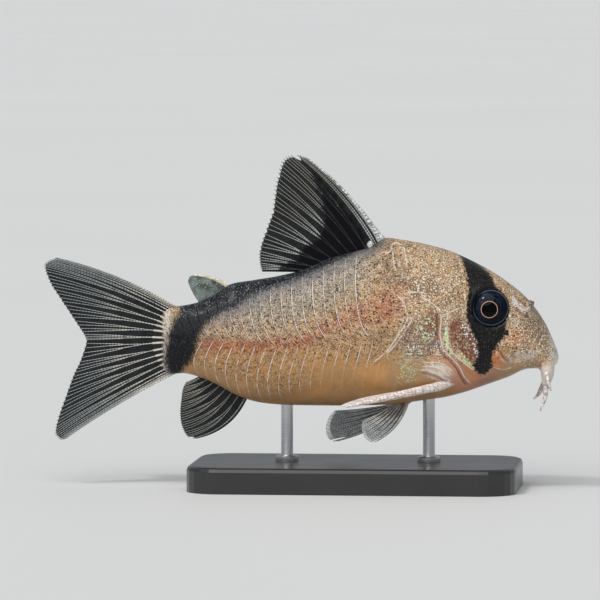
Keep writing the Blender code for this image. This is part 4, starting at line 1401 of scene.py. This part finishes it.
@dataclass(frozen=True)
class BarbelFinish:
    """Soft, moist, whitish flesh."""

    shade: Colour = (0.46, 0.37, 0.31)
    white: Colour = (0.86, 0.85, 0.85)
    cloud: Grain = (2600.0, 3.0, 0.7)
    depth: float = 0.00007

    def make(self) -> Material:
        """Builds the material."""
        mix = Recipe("barbel_finish")
        cloud = mix.noise(mix.place(), *self.cloud)
        mix.bump(cloud, self.depth)
        return mix.finish(Base_Color=mix.over(self.shade, self.white, mix.band(cloud, 0.40, 0.62)),
                          Roughness=mix.scaled(cloud, 0.2, 0.3), Coat_Weight=0.15, Coat_Roughness=0.2,
                          Subsurface_Weight=0.2, Subsurface_Scale=0.0004)


@dataclass
class Barbels:
    """The four feelers at the corners of the mouth."""

    paths: dict = field(default_factory=lambda: {
        "barbel_upper_R": ((28.75, -2.45, 13.5), (28.85, -2.9, 13.1), (29.0, -3.15, 12.55), (29.3, -3.2, 11.65)),
        "barbel_lower_R": ((28.66, -1.9, 12.6), (28.66, -2.0, 11.9), (28.55, -2.1, 10.7), (28.02, -2.3, 9.25)),
        "barbel_upper_L": ((28.7, 2.45, 13.5), (28.5, 2.9, 13.0), (28.1, 3.1, 12.15), (27.4, 3.15, 10.85)),
        "barbel_lower_L": ((28.6, 1.9, 12.6), (28.4, 2.0, 11.9), (27.85, 2.1, 11.1), (27.0, 2.25, 10.25)),
    })
    radii: tuple = (0.36, 0.31, 0.24, 0.09)

    def build(self) -> None:
        """Models all four, each with its root sunk in the corner of the mouth."""
        material = BarbelFinish().make()
        for name, path in self.paths.items():
            bm = bmesh.new()
            tube(bm, np.array(path), self.radii, 16, 26)
            bmesh.ops.recalc_face_normals(bm, faces=bm.faces)
            settle(to_object(f"feeler_{name[7:]}", bm, material), Slot.BARBEL, name)


# The ragged edge of a fin's dark wedge
WEDGE_EDGE: Grain = (1100.0, 4.0, 0.8)


def wedge_ink(mix: Recipe, place: Socket, low: float, high: float) -> Socket:
    """How black a fin's ragged wedge is, from none at low to full at high, in millimetres in from its outline."""
    return mix.band(mix.maths("ADD", mix.attribute("wedge"), mix.swing(mix.noise(place, *WEDGE_EDGE), 2.6)), low, high)


def dimmed(colour: Colour, factor: float) -> Colour:
    """A colour made lighter or darker."""
    return tuple(factor * part for part in colour)


@dataclass(frozen=True)
class FinFinish:
    """Thin smoky membrane, darker where pigment lies in it."""

    name: str
    veil: Colour = (0.012, 0.014, 0.015)
    ink: Colour = (0.003, 0.003, 0.004)
    solidity: float = 0.985
    bare: float = 0.93
    glints: float = 3.0
    cloud: Grain = (700.0, 3.0, 0.6)
    fine: Grain = (5200.0, 2.0, 0.7)
    depth: float = 0.00003

    def make(self) -> Material:
        """Builds the material."""
        mix = Recipe(self.name)
        place = mix.place()
        cloud = mix.noise(place, *self.cloud)
        fine = mix.noise(place, *self.fine)
        black = wedge_ink(mix, place, -0.4, 0.5)
        colour = mix.layered(self.veil, (dimmed(self.veil, 0.6 * self.glints), mix.band(cloud, 0.3, 0.7)),
                             (dimmed(self.veil, self.glints), mix.band(fine, 0.56, 0.70)), (self.ink, black))
        clear = mix.band(mix.attribute("outward"), 0.45, 1.0, self.solidity, self.bare)
        mix.bump(cloud, self.depth)
        return mix.finish(Base_Color=colour, Roughness=0.34, Alpha=mix.maths("MAXIMUM", clear, black), IOR=1.2)


@dataclass(frozen=True)
class RayFinish:
    """Bony rays: pale, jointed, with a glassy edge, black where the fin's pigment covers them."""

    name: str
    bone: Colour = (0.72, 0.68, 0.60)
    tip: Colour = (0.34, 0.37, 0.37)
    joint: Colour = (0.07, 0.075, 0.075)
    ink: Colour = (0.008, 0.009, 0.013)
    segment: float = 0.36
    reach: float = 9.0
    cloud: Grain = (1300.0, 3.0, 0.7)
    depth: float = 0.00004

    def make(self) -> Material:
        """Builds the material."""
        mix = Recipe(self.name)
        place = mix.place()
        along = mix.attribute("along")
        gap = mix.both(mix.fade(mix.repeat(along, self.segment), 0.1, 0.4), mix.band(along, 0.1, 0.5))
        cloud = mix.noise(place, *self.cloud)
        colour = mix.layered(self.bone, (self.tip, mix.band(along, 0.25 * self.reach, self.reach)),
                             (dimmed(self.bone, 0.3), mix.band(cloud, 0.3, 0.6, 0.6, 0.0)),
                             (self.joint, gap, 0.7), (self.ink, wedge_ink(mix, place, -0.3, 0.4)))
        mix.bump(mix.maths("SUBTRACT", cloud, gap), self.depth)
        return mix.finish(Base_Color=colour, Roughness=0.30, Coat_Weight=0.2, Coat_Roughness=0.2)


@dataclass(frozen=True)
class SpineFinish:
    """A stout spine: pale skin over bone, with fine beaded ridges along it."""

    name: str
    low: Colour = (0.66, 0.48, 0.40)
    high: Colour = (0.95, 0.92, 0.90)
    shade: Colour = (0.36, 0.24, 0.19)
    bead_pitch: float = 0.42
    ridge_stretch: float = 0.00022
    ridges: Grain = (5200.0, 2.0, 0.6)
    cloud: Grain = (3800.0, 2.0, 0.7)
    depth: float = 0.00008

    def make(self) -> Material:
        """Builds the material."""
        mix = Recipe(self.name)
        along = mix.attribute("along")
        place = mix.place()
        x, y, z = mix.split(place)
        combed = mix.join(mix.maths("MULTIPLY", along, self.ridge_stretch), y, mix.maths("ADD", z, mix.both(x, -0.2)))
        ridges = mix.noise(combed, *self.ridges)
        bead = mix.both(mix.fade(mix.repeat(along, self.bead_pitch), 0.1, 0.3), mix.band(along, 2.5, 4.0))
        cloud = mix.noise(place, *self.cloud)
        colour = mix.layered(self.low, (self.high, mix.band(ridges, 0.40, 0.58)), (self.shade, bead, 0.35),
                             (self.shade, mix.band(cloud, 0.36, 0.46, 0.5, 0.0)))
        mix.bump(mix.maths("SUBTRACT", ridges, mix.both(bead, 0.5)), self.depth)
        return mix.finish(Base_Color=colour, Roughness=0.34, Coat_Weight=0.12, Coat_Roughness=0.2)


@dataclass
class RayFin:
    """A fin: a thin membrane, and branching rays standing out of both its faces."""

    name: str
    node: str
    root: tuple
    margin: tuple
    rays: int
    bows: tuple[float, float]
    membrane: Material
    bone: Material
    origin: Point3 = (0.0, 0.0, 0.0)
    along: Point3 = (1.0, 0.0, 0.0)
    up: Point3 = (0.0, 0.0, 1.0)
    fork: tuple[float, float] = (0.12, 0.36)
    ray_radius: tuple[float, float] = (0.078, 0.042)
    spine_radius: float = 0.0
    notch: float = 0.05
    sunk: float = 0.06
    wedge: tuple = ()
    branches: int = 2
    lanes: tuple = ()
    spread: float = 0.55
    spine: Material | None = None
    spine_radii: tuple = ()
    knobs: tuple = ()
    thickness: tuple[float, float] = (0.045, 0.02)

    def __post_init__(self) -> None:
        """Works out the fin's own plane, and the lane of each ray: its middle, its width and how often it forks."""
        width = 1.0 / self.rays
        self.lanes = self.lanes or tuple(((ray + 0.5) * width, width, 0 if ray == 0 and self.spine_radius > 0
                                          else self.branches) for ray in range(self.rays))
        self.origin_at = Vector(self.origin)
        self.right = Vector(self.along).normalized()
        self.rise = Vector(self.up).normalized()
        self.normal = self.right.cross(self.rise).normalized()

    def places(self, across: np.ndarray, out: np.ndarray) -> np.ndarray:
        """Points of the fin's middle plane.

        Args:
            across: shares over the rays, from the leading edge.
            out: shares from root to margin.

        Returns:
            The points, in millimetres.
        """
        flat = fin_place(self.root, self.margin, self.bows, across, out)
        plane = np.array([self.right, self.rise])
        return np.array(self.origin_at) + flat @ plane

    def inked(self, points: np.ndarray) -> np.ndarray:
        """How deep each point lies in the fin's dark wedge."""
        if not self.wedge:
            return np.full(len(points), -3.0)
        return np.clip(gap_to(points[:, [0, 2]], drawn(self.wedge, closed=True), closed=True), -3, 3)

    def tips(self) -> np.ndarray:
        """Where the tips of the rays stand across the margin."""
        found = []
        for middle, width, forks in self.lanes:
            offsets = ((0.0,), (-0.25, 0.25), (-0.375, -0.125, 0.125, 0.375))[forks]
            found += [middle + width * offset for offset in offsets]
        return np.sort(np.array(found))

    def reach(self, across: np.ndarray) -> np.ndarray:
        """How far out the membrane goes: to the tips of the rays, and less between them.

        Args:
            across: shares over the rays, from the leading edge.

        Returns:
            The share of the way to the margin, at each place.
        """
        tips = self.tips()
        ends = np.concatenate([[0.0], tips, [1.0]])
        slot = np.clip(np.searchsorted(ends, across) - 1, 0, len(ends) - 2)
        gap = ends[slot + 1] - ends[slot]
        phase = (across - ends[slot]) / np.maximum(gap, 1e-6)
        outer = (slot == 0) | (slot == len(ends) - 2)
        usual = (tips[-1] - tips[0]) / max(len(tips) - 1, 1) or 1.0
        depth = np.minimum(gap / usual, 2.2) ** 1.4
        return 1 - self.notch * np.where(outer, 0.6, 0.35 + depth * np.sin(np.pi * phase))

    def build_membrane(self) -> Piece:
        """The thin sheet between the rays, with a notched margin."""
        columns, rows = max(len(self.tips()) * 4, 32), 28
        bm = bmesh.new()
        bmesh.ops.create_grid(bm, x_segments=columns, y_segments=rows, size=0.5)
        outward = bm.verts.layers.float.new("outward")
        wedge = bm.verts.layers.float.new("wedge")
        grid = np.array([vert.co[:2] for vert in bm.verts]) + 0.5
        across, out = grid.T
        points = self.places(across, -self.sunk + out * (self.reach(across) + self.sunk))
        for vert, point, share, ink in zip(bm.verts, points, out, self.inked(points)):
            vert.co = point
            vert[outward] = share
            vert[wedge] = ink
        near = list(bm.verts)
        grown = bmesh.ops.extrude_face_region(bm, geom=list(bm.faces), use_keep_orig=True)["geom"]
        far = [item for item in grown if isinstance(item, bmesh.types.BMVert)]
        foot, edge = self.thickness
        for verts, sign in ((near, -1), (far, 1)):
            for vert in verts:
                vert.co += self.normal * (sign * (foot + (edge - foot) * vert[outward]))
        bmesh.ops.recalc_face_normals(bm, faces=bm.faces)
        return to_object(f"{self.name}_membrane", bm, self.membrane)

    def strand(self, bm: Draft, across: np.ndarray, out: np.ndarray, radii: tuple) -> None:
        """Adds one length of ray.

        Args:
            bm: the mesh it is added to.
            across: its lane among the rays, at each point.
            out: its share of the way to the margin, at each point.
            radii: its radius at its start and end.
        """
        path = self.places(across, out)
        foot = self.places(across[:1], np.zeros(1))
        travelled = float(np.linalg.norm(path[0] - foot[0]))
        tube(bm, path, np.linspace(radii[0], radii[1], len(path)), 6, 2 * (len(path) - 1), (self.normal, 1.15),
             travelled)

    def ray(self, bm: Draft, number: int, lane: tuple) -> None:
        """Adds one ray as a trunk that forks, and whose branches may fork again.

        Args:
            bm: the mesh it is added to.
            number: its number from the leading edge.
            lane: its middle, its width and how often it forks.
        """
        middle, width, forks = lane
        thick, thin = self.ray_radius
        root = thick * (0.75 if forks == 0 else 1.0)
        if number == 0 and self.spine_radius > 0:
            root = self.spine_radius
        if forks == 0:
            self.strand(bm, np.full(10, middle), np.linspace(-self.sunk, 1.0, 10), (root, thin * 1.3))
            return
        drift = 0.05 * math.sin(2.4 * number)
        one, two = self.fork[0] + drift, self.fork[1] + drift
        mid = 0.45 * (thick + thin)
        self.strand(bm, np.full(7, middle), np.linspace(-self.sunk, one + 0.02, 7), (root, mid * 1.15))
        for side in (-1, 1):
            out = np.linspace(one, two + 0.02 if forks > 1 else 1.0, 6)
            veer = side * 0.25 * width
            self.strand(bm, middle + veer * ((out - one) / (1 - one)) ** self.spread, out,
                        (mid, thin * 1.35 if forks > 1 else thin))
            if forks < 2:
                continue
            base = middle + veer * ((two - one) / (1 - one)) ** self.spread
            for twig in (-1, 1):
                out = np.linspace(two, 1.0, 6)
                veered = middle + veer + twig * 0.125 * width - base
                self.strand(bm, base + veered * ((out - two) / (1 - two)) ** self.spread, out, (thin * 1.3, thin))

    def build_rays(self) -> Piece:
        """Every ray in one piece, but for a spine, which is a piece of its own."""
        bm = bmesh.new()
        bm.verts.layers.float.new("along")
        bm.verts.layers.float.new("wedge")
        for number, lane in enumerate(self.lanes):
            if number or not self.spine:
                self.ray(bm, number, lane)
        points = np.array([vert.co for vert in bm.verts])
        wedge = bm.verts.layers.float["wedge"]
        for vert, ink in zip(bm.verts, self.inked(points)):
            vert[wedge] = ink
        bmesh.ops.recalc_face_normals(bm, faces=bm.faces)
        return to_object(f"{self.name}_rays", bm, self.bone)

    def build(self) -> None:
        """Models the fin and settles its pieces."""
        settle(self.build_membrane(), Slot.FIN, self.node)
        if len(self.lanes) > 1:
            settle(self.build_rays(), Slot.FIN, self.node)
        if self.spine:
            bm = bmesh.new()
            bm.verts.layers.float.new("along")
            path = self.places(np.full(12, self.lanes[0][0]), np.linspace(-0.03, 1.0, 12))
            tube(bm, path, self.spine_radii, 12, 48)
            for centre, radii in self.knobs:
                ball(bm, centre, radii)
            bmesh.ops.recalc_face_normals(bm, faces=bm.faces)
            settle(to_object(f"{self.name}_spine", bm, self.spine), Slot.FIN, self.node)


@dataclass(frozen=True)
class PelvicShape:
    """One pelvic fin in its own plane: how far it leans out, how deep it is let in, its first bend and its lines."""

    splay: float
    sunk: float
    bow: float
    root: tuple
    margin: tuple


@dataclass
class Fins:
    """All the fins, on the same roots and margins as their solids."""

    sunk: float = 0.2
    dorsal_root: tuple = (9.6, 8.4, 7.2, 6.0, 4.8, 3.6, 2.4, 1.2, 0.1)
    dorsal_margin: tuple = (
        (0.9, 38.2), (-0.5, 38.55), (-1.9, 38.15), (-2.6, 36.4), (-3.0, 34.3), (-3.3, 32.0), (-4.1, 29.7),
        (-4.75, 27.6), (-4.75, 26.1), (-4.45, 25.0),
    )
    dorsal_wedge: tuple = (
        (-2.2, 24.6), (-2.0, 26.0), (-0.3, 26.6), (0.3, 27.6), (1.6, 28.6), (2.6, 29.9), (2.75, 31.3), (2.3, 33.6),
        (1.8, 35.2), (1.1, 36.2), (1.5, 36.7), (2.5, 35.7), (3.95, 33.8), (5.55, 32.1), (6.9, 30.3), (7.95, 28.2),
        (7.9, 26.0), (3.0, 24.0),
    )
    dorsal_lanes: tuple = (
        (0.022, 0.02, 0), (0.050, 0.02, 0), (0.078, 0.02, 0), (0.096, 0.02, 0), (0.19, 0.10, 2), (0.29, 0.10, 2),
        (0.395, 0.10, 2), (0.50, 0.105, 2), (0.61, 0.105, 2), (0.72, 0.105, 2), (0.83, 0.105, 2), (0.93, 0.09, 2),
    )
    dorsal_spine: tuple = (0.48, 0.30, 0.19, 0.14, 0.11, 0.06)
    dorsal_knobs: tuple = (((9.35, 0.0, 28.95), (0.52, 0.42, 0.46)), ((8.2, 0.0, 28.15), (0.42, 0.36, 0.5)))
    adipose_root: tuple = (-8.1, -9.3, -10.5, -11.7)
    adipose_margin: tuple = ((-12.3, 24.55), (-12.8, 24.4), (-13.05, 23.8), (-12.7, 22.9), (-12.2, 21.95))
    adipose_spine: tuple = (0.28, 0.24, 0.17, 0.08)
    anal_root: tuple = (-6.1, -7.5, -8.9, -10.3, -11.6)
    anal_margin: tuple = (
        (-12.2, 5.5), (-13.25, 5.8), (-13.9, 7.1), (-14.05, 8.6), (-13.9, 10.1), (-13.7, 11.3), (-13.3, 12.1),
    )
    pelvic_at: Point2 = (12.6, 2.1)
    pelvic_drop: float = 0.46
    pelvic_shapes: tuple[PelvicShape, PelvicShape] = (
        PelvicShape(44.0, 0.12, 0.1, ((0.0, 0.0), (0.7, 0.0), (1.4, 0.0), (2.1, 0.0)),
                    ((3.2, 5.15), (3.9, 5.15), (4.5, 4.65), (4.9, 3.9), (5.05, 3.0), (5.05, 2.1))),
        PelvicShape(22.0, 0.1, 0.07, ((0.3, 0.0), (1.0, 0.0), (1.7, 0.0), (2.4, 0.0)),
                    ((8.9, 4.95), (9.55, 4.55), (9.85, 3.8), (9.85, 2.8), (9.45, 1.7), (8.75, 0.85))),
    )
    pectoral_at: Point2 = (16.9, 12.15)
    pectoral_flare: float = 17.0
    pectoral_drop: float = 0.2
    pectoral_tilt: float = 12.0
    pectoral_root: tuple = ((-0.3, -0.2), (0.0, 0.0), (0.4, 0.2), (0.8, 0.4))
    pectoral_margin: tuple = ((9.5, 0.1), (10.85, 0.6), (10.65, 1.2), (9.8, 1.75), (8.4, 2.15), (6.8, 2.05))
    # The spine turns out of the flank, ahead, out and up from the fin's place, then runs back by these lengths
    shoulder: tuple[Point3, ...] = ((2.1, -0.5, 0.85), (1.1, -0.28, 0.5), (0.15, 0.15, 0.2), (-0.6, 0.72, 0.0))
    spine_lengths: tuple = (0.3, 3.6, 6.9, 10.15)
    spine_radii: tuple = (0.22, 0.40, 0.52, 0.56, 0.52, 0.44, 0.32, 0.14)

    def on_back(self, places: tuple) -> tuple:
        """Root points along the back."""
        return tuple((x, FORM.back_at(x) - self.sunk) for x in places)

    def on_belly(self, places: tuple) -> tuple:
        """Root points along the belly."""
        return tuple((x, FORM.belly_at(x) + self.sunk) for x in places)

    def build_back(self) -> None:
        """The dorsal fin with its spine and the knobs at its root, and the small adipose fin."""
        silvery = SpineFinish("silvery_spine_finish", (0.24, 0.26, 0.26), (0.84, 0.85, 0.82), (0.07, 0.065, 0.05))
        veil = FinFinish("dorsal_veil", veil=(0.012, 0.013, 0.013)).make()
        bone = RayFinish("dorsal_bone", bone=(0.60, 0.61, 0.60), tip=(0.30, 0.29, 0.25), segment=0.3).make()
        RayFin("dorsal", "dorsal_fin", self.on_back(self.dorsal_root), self.dorsal_margin, 10, (-0.055, 0.0), veil,
               bone, spine=silvery.make(), spine_radii=self.dorsal_spine, knobs=self.dorsal_knobs, fork=(0.10, 0.34),
               wedge=self.dorsal_wedge, ray_radius=(0.11, 0.045), notch=0.022, lanes=self.dorsal_lanes,
               sunk=0.02).build()

        veil = FinFinish("adipose_veil", veil=(0.045, 0.054, 0.048), bare=0.97, glints=9.0).make()
        golden = SpineFinish("golden_spine_finish", (0.60, 0.48, 0.30), (0.92, 0.86, 0.72), (0.20, 0.16, 0.11))
        RayFin("adipose", "adipose_fin", self.on_back(self.adipose_root), self.adipose_margin, 3, (-0.09, 0.0), veil,
               bone, spine=golden.make(), spine_radii=self.adipose_spine, notch=0.0, sunk=0.02,
               lanes=((0.03, 0.1, 0),)).build()

    def build_rear(self) -> None:
        """The anal fin and both lobes of the tail fin."""
        veil = FinFinish("tail_veil").make()
        bone = RayFinish("tail_bone").make()
        dull = RayFinish("anal_bone", bone=(0.42, 0.40, 0.33), tip=(0.26, 0.27, 0.24), reach=6.0).make()
        RayFin("anal", "anal_fin", self.on_belly(self.anal_root), self.anal_margin, 8, (0.13, 0.02), veil, dull,
               sunk=0.03, spine_radius=0.1, ray_radius=(0.07, 0.04), notch=0.015).build()
        for name, lobe in (("upper", UPPER_LOBE), ("lower", LOWER_LOBE)):
            RayFin(f"caudal_{name}", f"caudal_fin_{name}", lobe.root, lobe.margin, len(lobe.lanes), lobe.bows, veil,
                   bone, lanes=lobe.lanes, spine_radius=0.1, sunk=0.0, notch=0.012).build()

    def build_pelvic(self) -> None:
        """The right fin flares towards the viewer, and the left one is swept back."""
        veil = FinFinish("pelvic_veil", veil=(0.075, 0.085, 0.09), solidity=0.85, bare=0.62).make()
        bone = RayFinish("pelvic_bone", bone=(0.92, 0.88, 0.80), tip=(0.90, 0.92, 0.95), segment=0.3, reach=5.0).make()
        x, y = self.pelvic_at
        z = FORM.underside(x - 1, y) - self.pelvic_drop
        for (side, letter), shape in zip(SIDES, self.pelvic_shapes):
            splay = math.radians(shape.splay)
            RayFin(f"pelvic_{letter}", f"pelvic_fin_{letter}", shape.root, shape.margin, 7, (shape.bow, 0.02), veil,
                   bone, (x, side * y, z), (-1, 0, 0), (0, side * math.sin(splay), -math.cos(splay)),
                   spine_radius=0.2, sunk=shape.sunk).build()

    def build_pectoral(self) -> None:
        """Nearly level blades, folded back behind a stout spine whose root turns in to the flank."""
        veil = FinFinish("pectoral_veil", veil=(0.15, 0.145, 0.14), solidity=0.8, bare=0.6).make()
        bone = RayFinish("pectoral_bone", (0.86, 0.80, 0.74), (0.84, 0.80, 0.76), (0.5, 0.36, 0.28)).make()
        spine = SpineFinish("pectoral_spine_finish").make()
        x, z = self.pectoral_at
        flare, tilt = math.radians(self.pectoral_flare), math.radians(self.pectoral_tilt)
        for side, letter in SIDES:
            node = f"pectoral_fin_{letter}"
            origin = Vector((x - 1.2, side * (FORM.flank(x, z) + 1.3), z - 0.1))
            back = Vector((-math.cos(flare), side * math.sin(flare), -self.pectoral_drop)).normalized()
            RayFin(f"pectoral_{letter}", node, self.pectoral_root, self.pectoral_margin, 6, (0.0, 0.04), veil, bone,
                   tuple(origin), tuple(back), (0.0, -side * math.cos(tilt), math.sin(tilt)), sunk=0.02,
                   ray_radius=(0.12, 0.045)).build()
            path = [(x + ahead, side * (FORM.flank(x + ahead, z + rise) + out), z + rise)
                    for ahead, out, rise in self.shoulder]
            path += [tuple(origin + back * length) for length in self.spine_lengths]
            bm = bmesh.new()
            bm.verts.layers.float.new("along")
            tube(bm, np.array(path), self.spine_radii, 16, 70)
            bmesh.ops.recalc_face_normals(bm, faces=bm.faces)
            settle(to_object(f"pectoral_spine_{letter}", bm, spine), Slot.FIN, node)

    def build(self) -> None:
        """Models every fin."""
        self.build_back()
        self.build_rear()
        self.build_pelvic()
        self.build_pectoral()


@dataclass(frozen=True)
class PlateFinish:
    """Satin black acrylic."""

    deep: Colour = (0.014, 0.014, 0.015)
    light: Colour = (0.026, 0.026, 0.028)
    haze: Grain = (260.0, 4.0, 0.6)
    fine: Grain = (5200.0, 2.0, 0.6)
    depth: float = 0.000004

    def make(self) -> Material:
        """Builds the material."""
        mix = Recipe("stand_plate_finish")
        place = mix.place()
        haze = mix.noise(place, *self.haze)
        mix.bump(mix.noise(place, *self.fine), self.depth)
        return mix.finish(Base_Color=mix.over(self.deep, self.light, haze), Roughness=mix.scaled(haze, 0.14, 0.24),
                          Coat_Weight=0.2, Coat_Roughness=0.15)


@dataclass(frozen=True)
class SteelFinish:
    """Turned steel, finely brushed round the rod."""

    deep: Colour = (0.50, 0.50, 0.51)
    light: Colour = (0.66, 0.66, 0.67)
    brushing: Grain = (900.0, 3.0, 0.7)
    stretch: float = 14.0
    depth: float = 0.000006

    def make(self) -> Material:
        """Builds the material."""
        mix = Recipe("stand_steel_finish")
        x, y, z = mix.split(mix.place())
        rings = mix.noise(mix.join(x, y, mix.maths("MULTIPLY", z, self.stretch)), *self.brushing)
        mix.bump(rings, self.depth)
        return mix.finish(Base_Color=mix.over(self.deep, self.light, rings), Roughness=mix.scaled(rings, 0.2, 0.2),
                          Metallic=1.0)


@dataclass
class Stand:
    """A flat base and two rods, each with a collar at its foot and a tip let into the belly."""

    rods: dict = field(default_factory=lambda: {"stand_rod_front": 15.0, "stand_rod_rear": -1.5})
    radius: float = 0.7
    base_top: float = 3.0
    collar: tuple[float, float] = (1.35, 0.7)
    sunk: float = 0.6

    def build_rod(self, node: str, x: float, material: Material) -> None:
        """One rod, turned from a profile.

        Args:
            node: the solid it stands for.
            x: its place along the base.
            material: its finish.
        """
        wide, tall = self.collar
        top = FORM.belly_at(x) + self.sunk
        profile = ((0.0, self.base_top - 0.3), (wide, self.base_top - 0.3), (wide, self.base_top + tall - 0.15),
                   (wide - 0.15, self.base_top + tall), (self.radius, self.base_top + tall), (self.radius, top - 0.2),
                   (self.radius - 0.2, top), (0.0, top))
        bm = bmesh.new()
        verts = [bm.verts.new((x + across, 0.0, height)) for across, height in profile]
        edges = [bm.edges.new(pair) for pair in zip(verts, verts[1:])]
        bmesh.ops.spin(bm, geom=[*verts, *edges], cent=(x, 0, 0), axis=(0, 0, 1), angle=math.tau, steps=40,
                       use_merge=True)
        bmesh.ops.remove_doubles(bm, verts=bm.verts, dist=1e-4)
        bmesh.ops.recalc_face_normals(bm, faces=bm.faces)
        sharp = [edge for edge in bm.edges if len(edge.link_faces) == 2 and edge.calc_face_angle() > math.radians(60)]
        bmesh.ops.bevel(bm, geom=sharp, offset=0.06, offset_type="OFFSET", segments=2, profile=0.5, affect="EDGES",
                        material=-1)
        rod = to_object(f"rod_{node[10:]}", bm, material)
        rod.data.set_sharp_from_angle(angle=math.radians(40))
        settle(rod, Slot.STEEL, node)

    def build(self) -> None:
        """Dresses the base and models the rods."""
        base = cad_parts["stand_base"]
        base.data.materials.clear()
        base.data.materials.append(PlateFinish().make())
        steel = SteelFinish().make()
        for node, x in self.rods.items():
            self.build_rod(node, x, steel)


@dataclass
class Studio:
    """Pale floor, soft lamps and the camera."""

    target: Point3 = (0.0, 0.0, 21.73)
    azimuth: float = 5.5
    elevation: float = 3.5
    view_width: float = 69.53
    distance: float = 700.0
    floor_half: float = 14.0
    floor_tones: tuple[Colour, Colour] = ((0.72, 0.72, 0.715), (0.76, 0.76, 0.755))
    # Lamps: name, where each comes from, strength, spread in degrees and colour
    lamps: tuple = (
        ("softbox", (-0.18, -0.56, 0.81), 1.7, 60.0, (1.0, 0.985, 0.96)),
        ("glint", (-0.35, -0.45, 0.82), 0.7, 7.0, (1.0, 1.0, 1.0)),
    )
    surround: float = 0.38
    surround_colour: Colour = (0.90, 0.95, 1.0)

    def build_camera(self) -> None:
        """The camera, with a long lens, turned and raised as the photograph's."""
        azimuth, elevation = math.radians(self.azimuth), math.radians(self.elevation)
        back = Vector((math.sin(azimuth) * math.cos(elevation), -math.cos(azimuth) * math.cos(elevation),
                       math.sin(elevation)))
        data = bpy.data.cameras.new("camera")
        data.sensor_width = 36.0
        data.lens = data.sensor_width * self.distance / self.view_width
        data.clip_start = 0.01
        data.clip_end = 50.0
        camera = added("camera", data)
        camera.location = (Vector(self.target) + back * self.distance) * MM
        camera.rotation_euler = (-back).to_track_quat("-Z", "Y").to_euler()
        bpy.context.scene.camera = camera

    def build_floor(self) -> None:
        """A wide, level, pale floor."""
        mix = Recipe("floor_finish")
        cloud = mix.noise(mix.place(), 6.0, 3.0, 0.5)
        material = mix.finish(Base_Color=mix.mix(cloud, *self.floor_tones), Roughness=0.6)
        bm = bmesh.new()
        bmesh.ops.create_grid(bm, x_segments=8, y_segments=8, size=self.floor_half / MM)
        floor = to_object("floor", bm, material)

    def build_lamps(self) -> None:
        """A wide, soft lamp from above the viewer, a small one for glints, and a pale surround."""
        for name, source, strength, spread, colour in self.lamps:
            data = bpy.data.lights.new(name, "SUN")
            data.energy = strength
            data.angle = math.radians(spread)
            data.color = colour
            added(name, data).rotation_euler = Vector(source).to_track_quat("Z", "Y").to_euler()
        world = bpy.data.worlds.new("surround")
        world.use_nodes = True
        surround = world.node_tree.nodes["Background"]
        surround.inputs["Color"].default_value = (*self.surround_colour, 1.0)
        surround.inputs["Strength"].default_value = self.surround
        bpy.context.scene.world = world

    def build(self) -> None:
        """Sets the studio up."""
        self.build_camera()
        self.build_floor()
        self.build_lamps()
        bpy.context.scene.view_settings.view_transform = "Standard"


def main() -> None:
    """Builds every piece in order."""
    Studio().build()
    Skin().build()
    eye_finish = EyeFinish().make()
    for side, letter in SIDES:
        Eye().build(side, letter, eye_finish)
    Barbels().build()
    Fins().build()
    Stand().build()


if __name__ == "__main__":
    main()
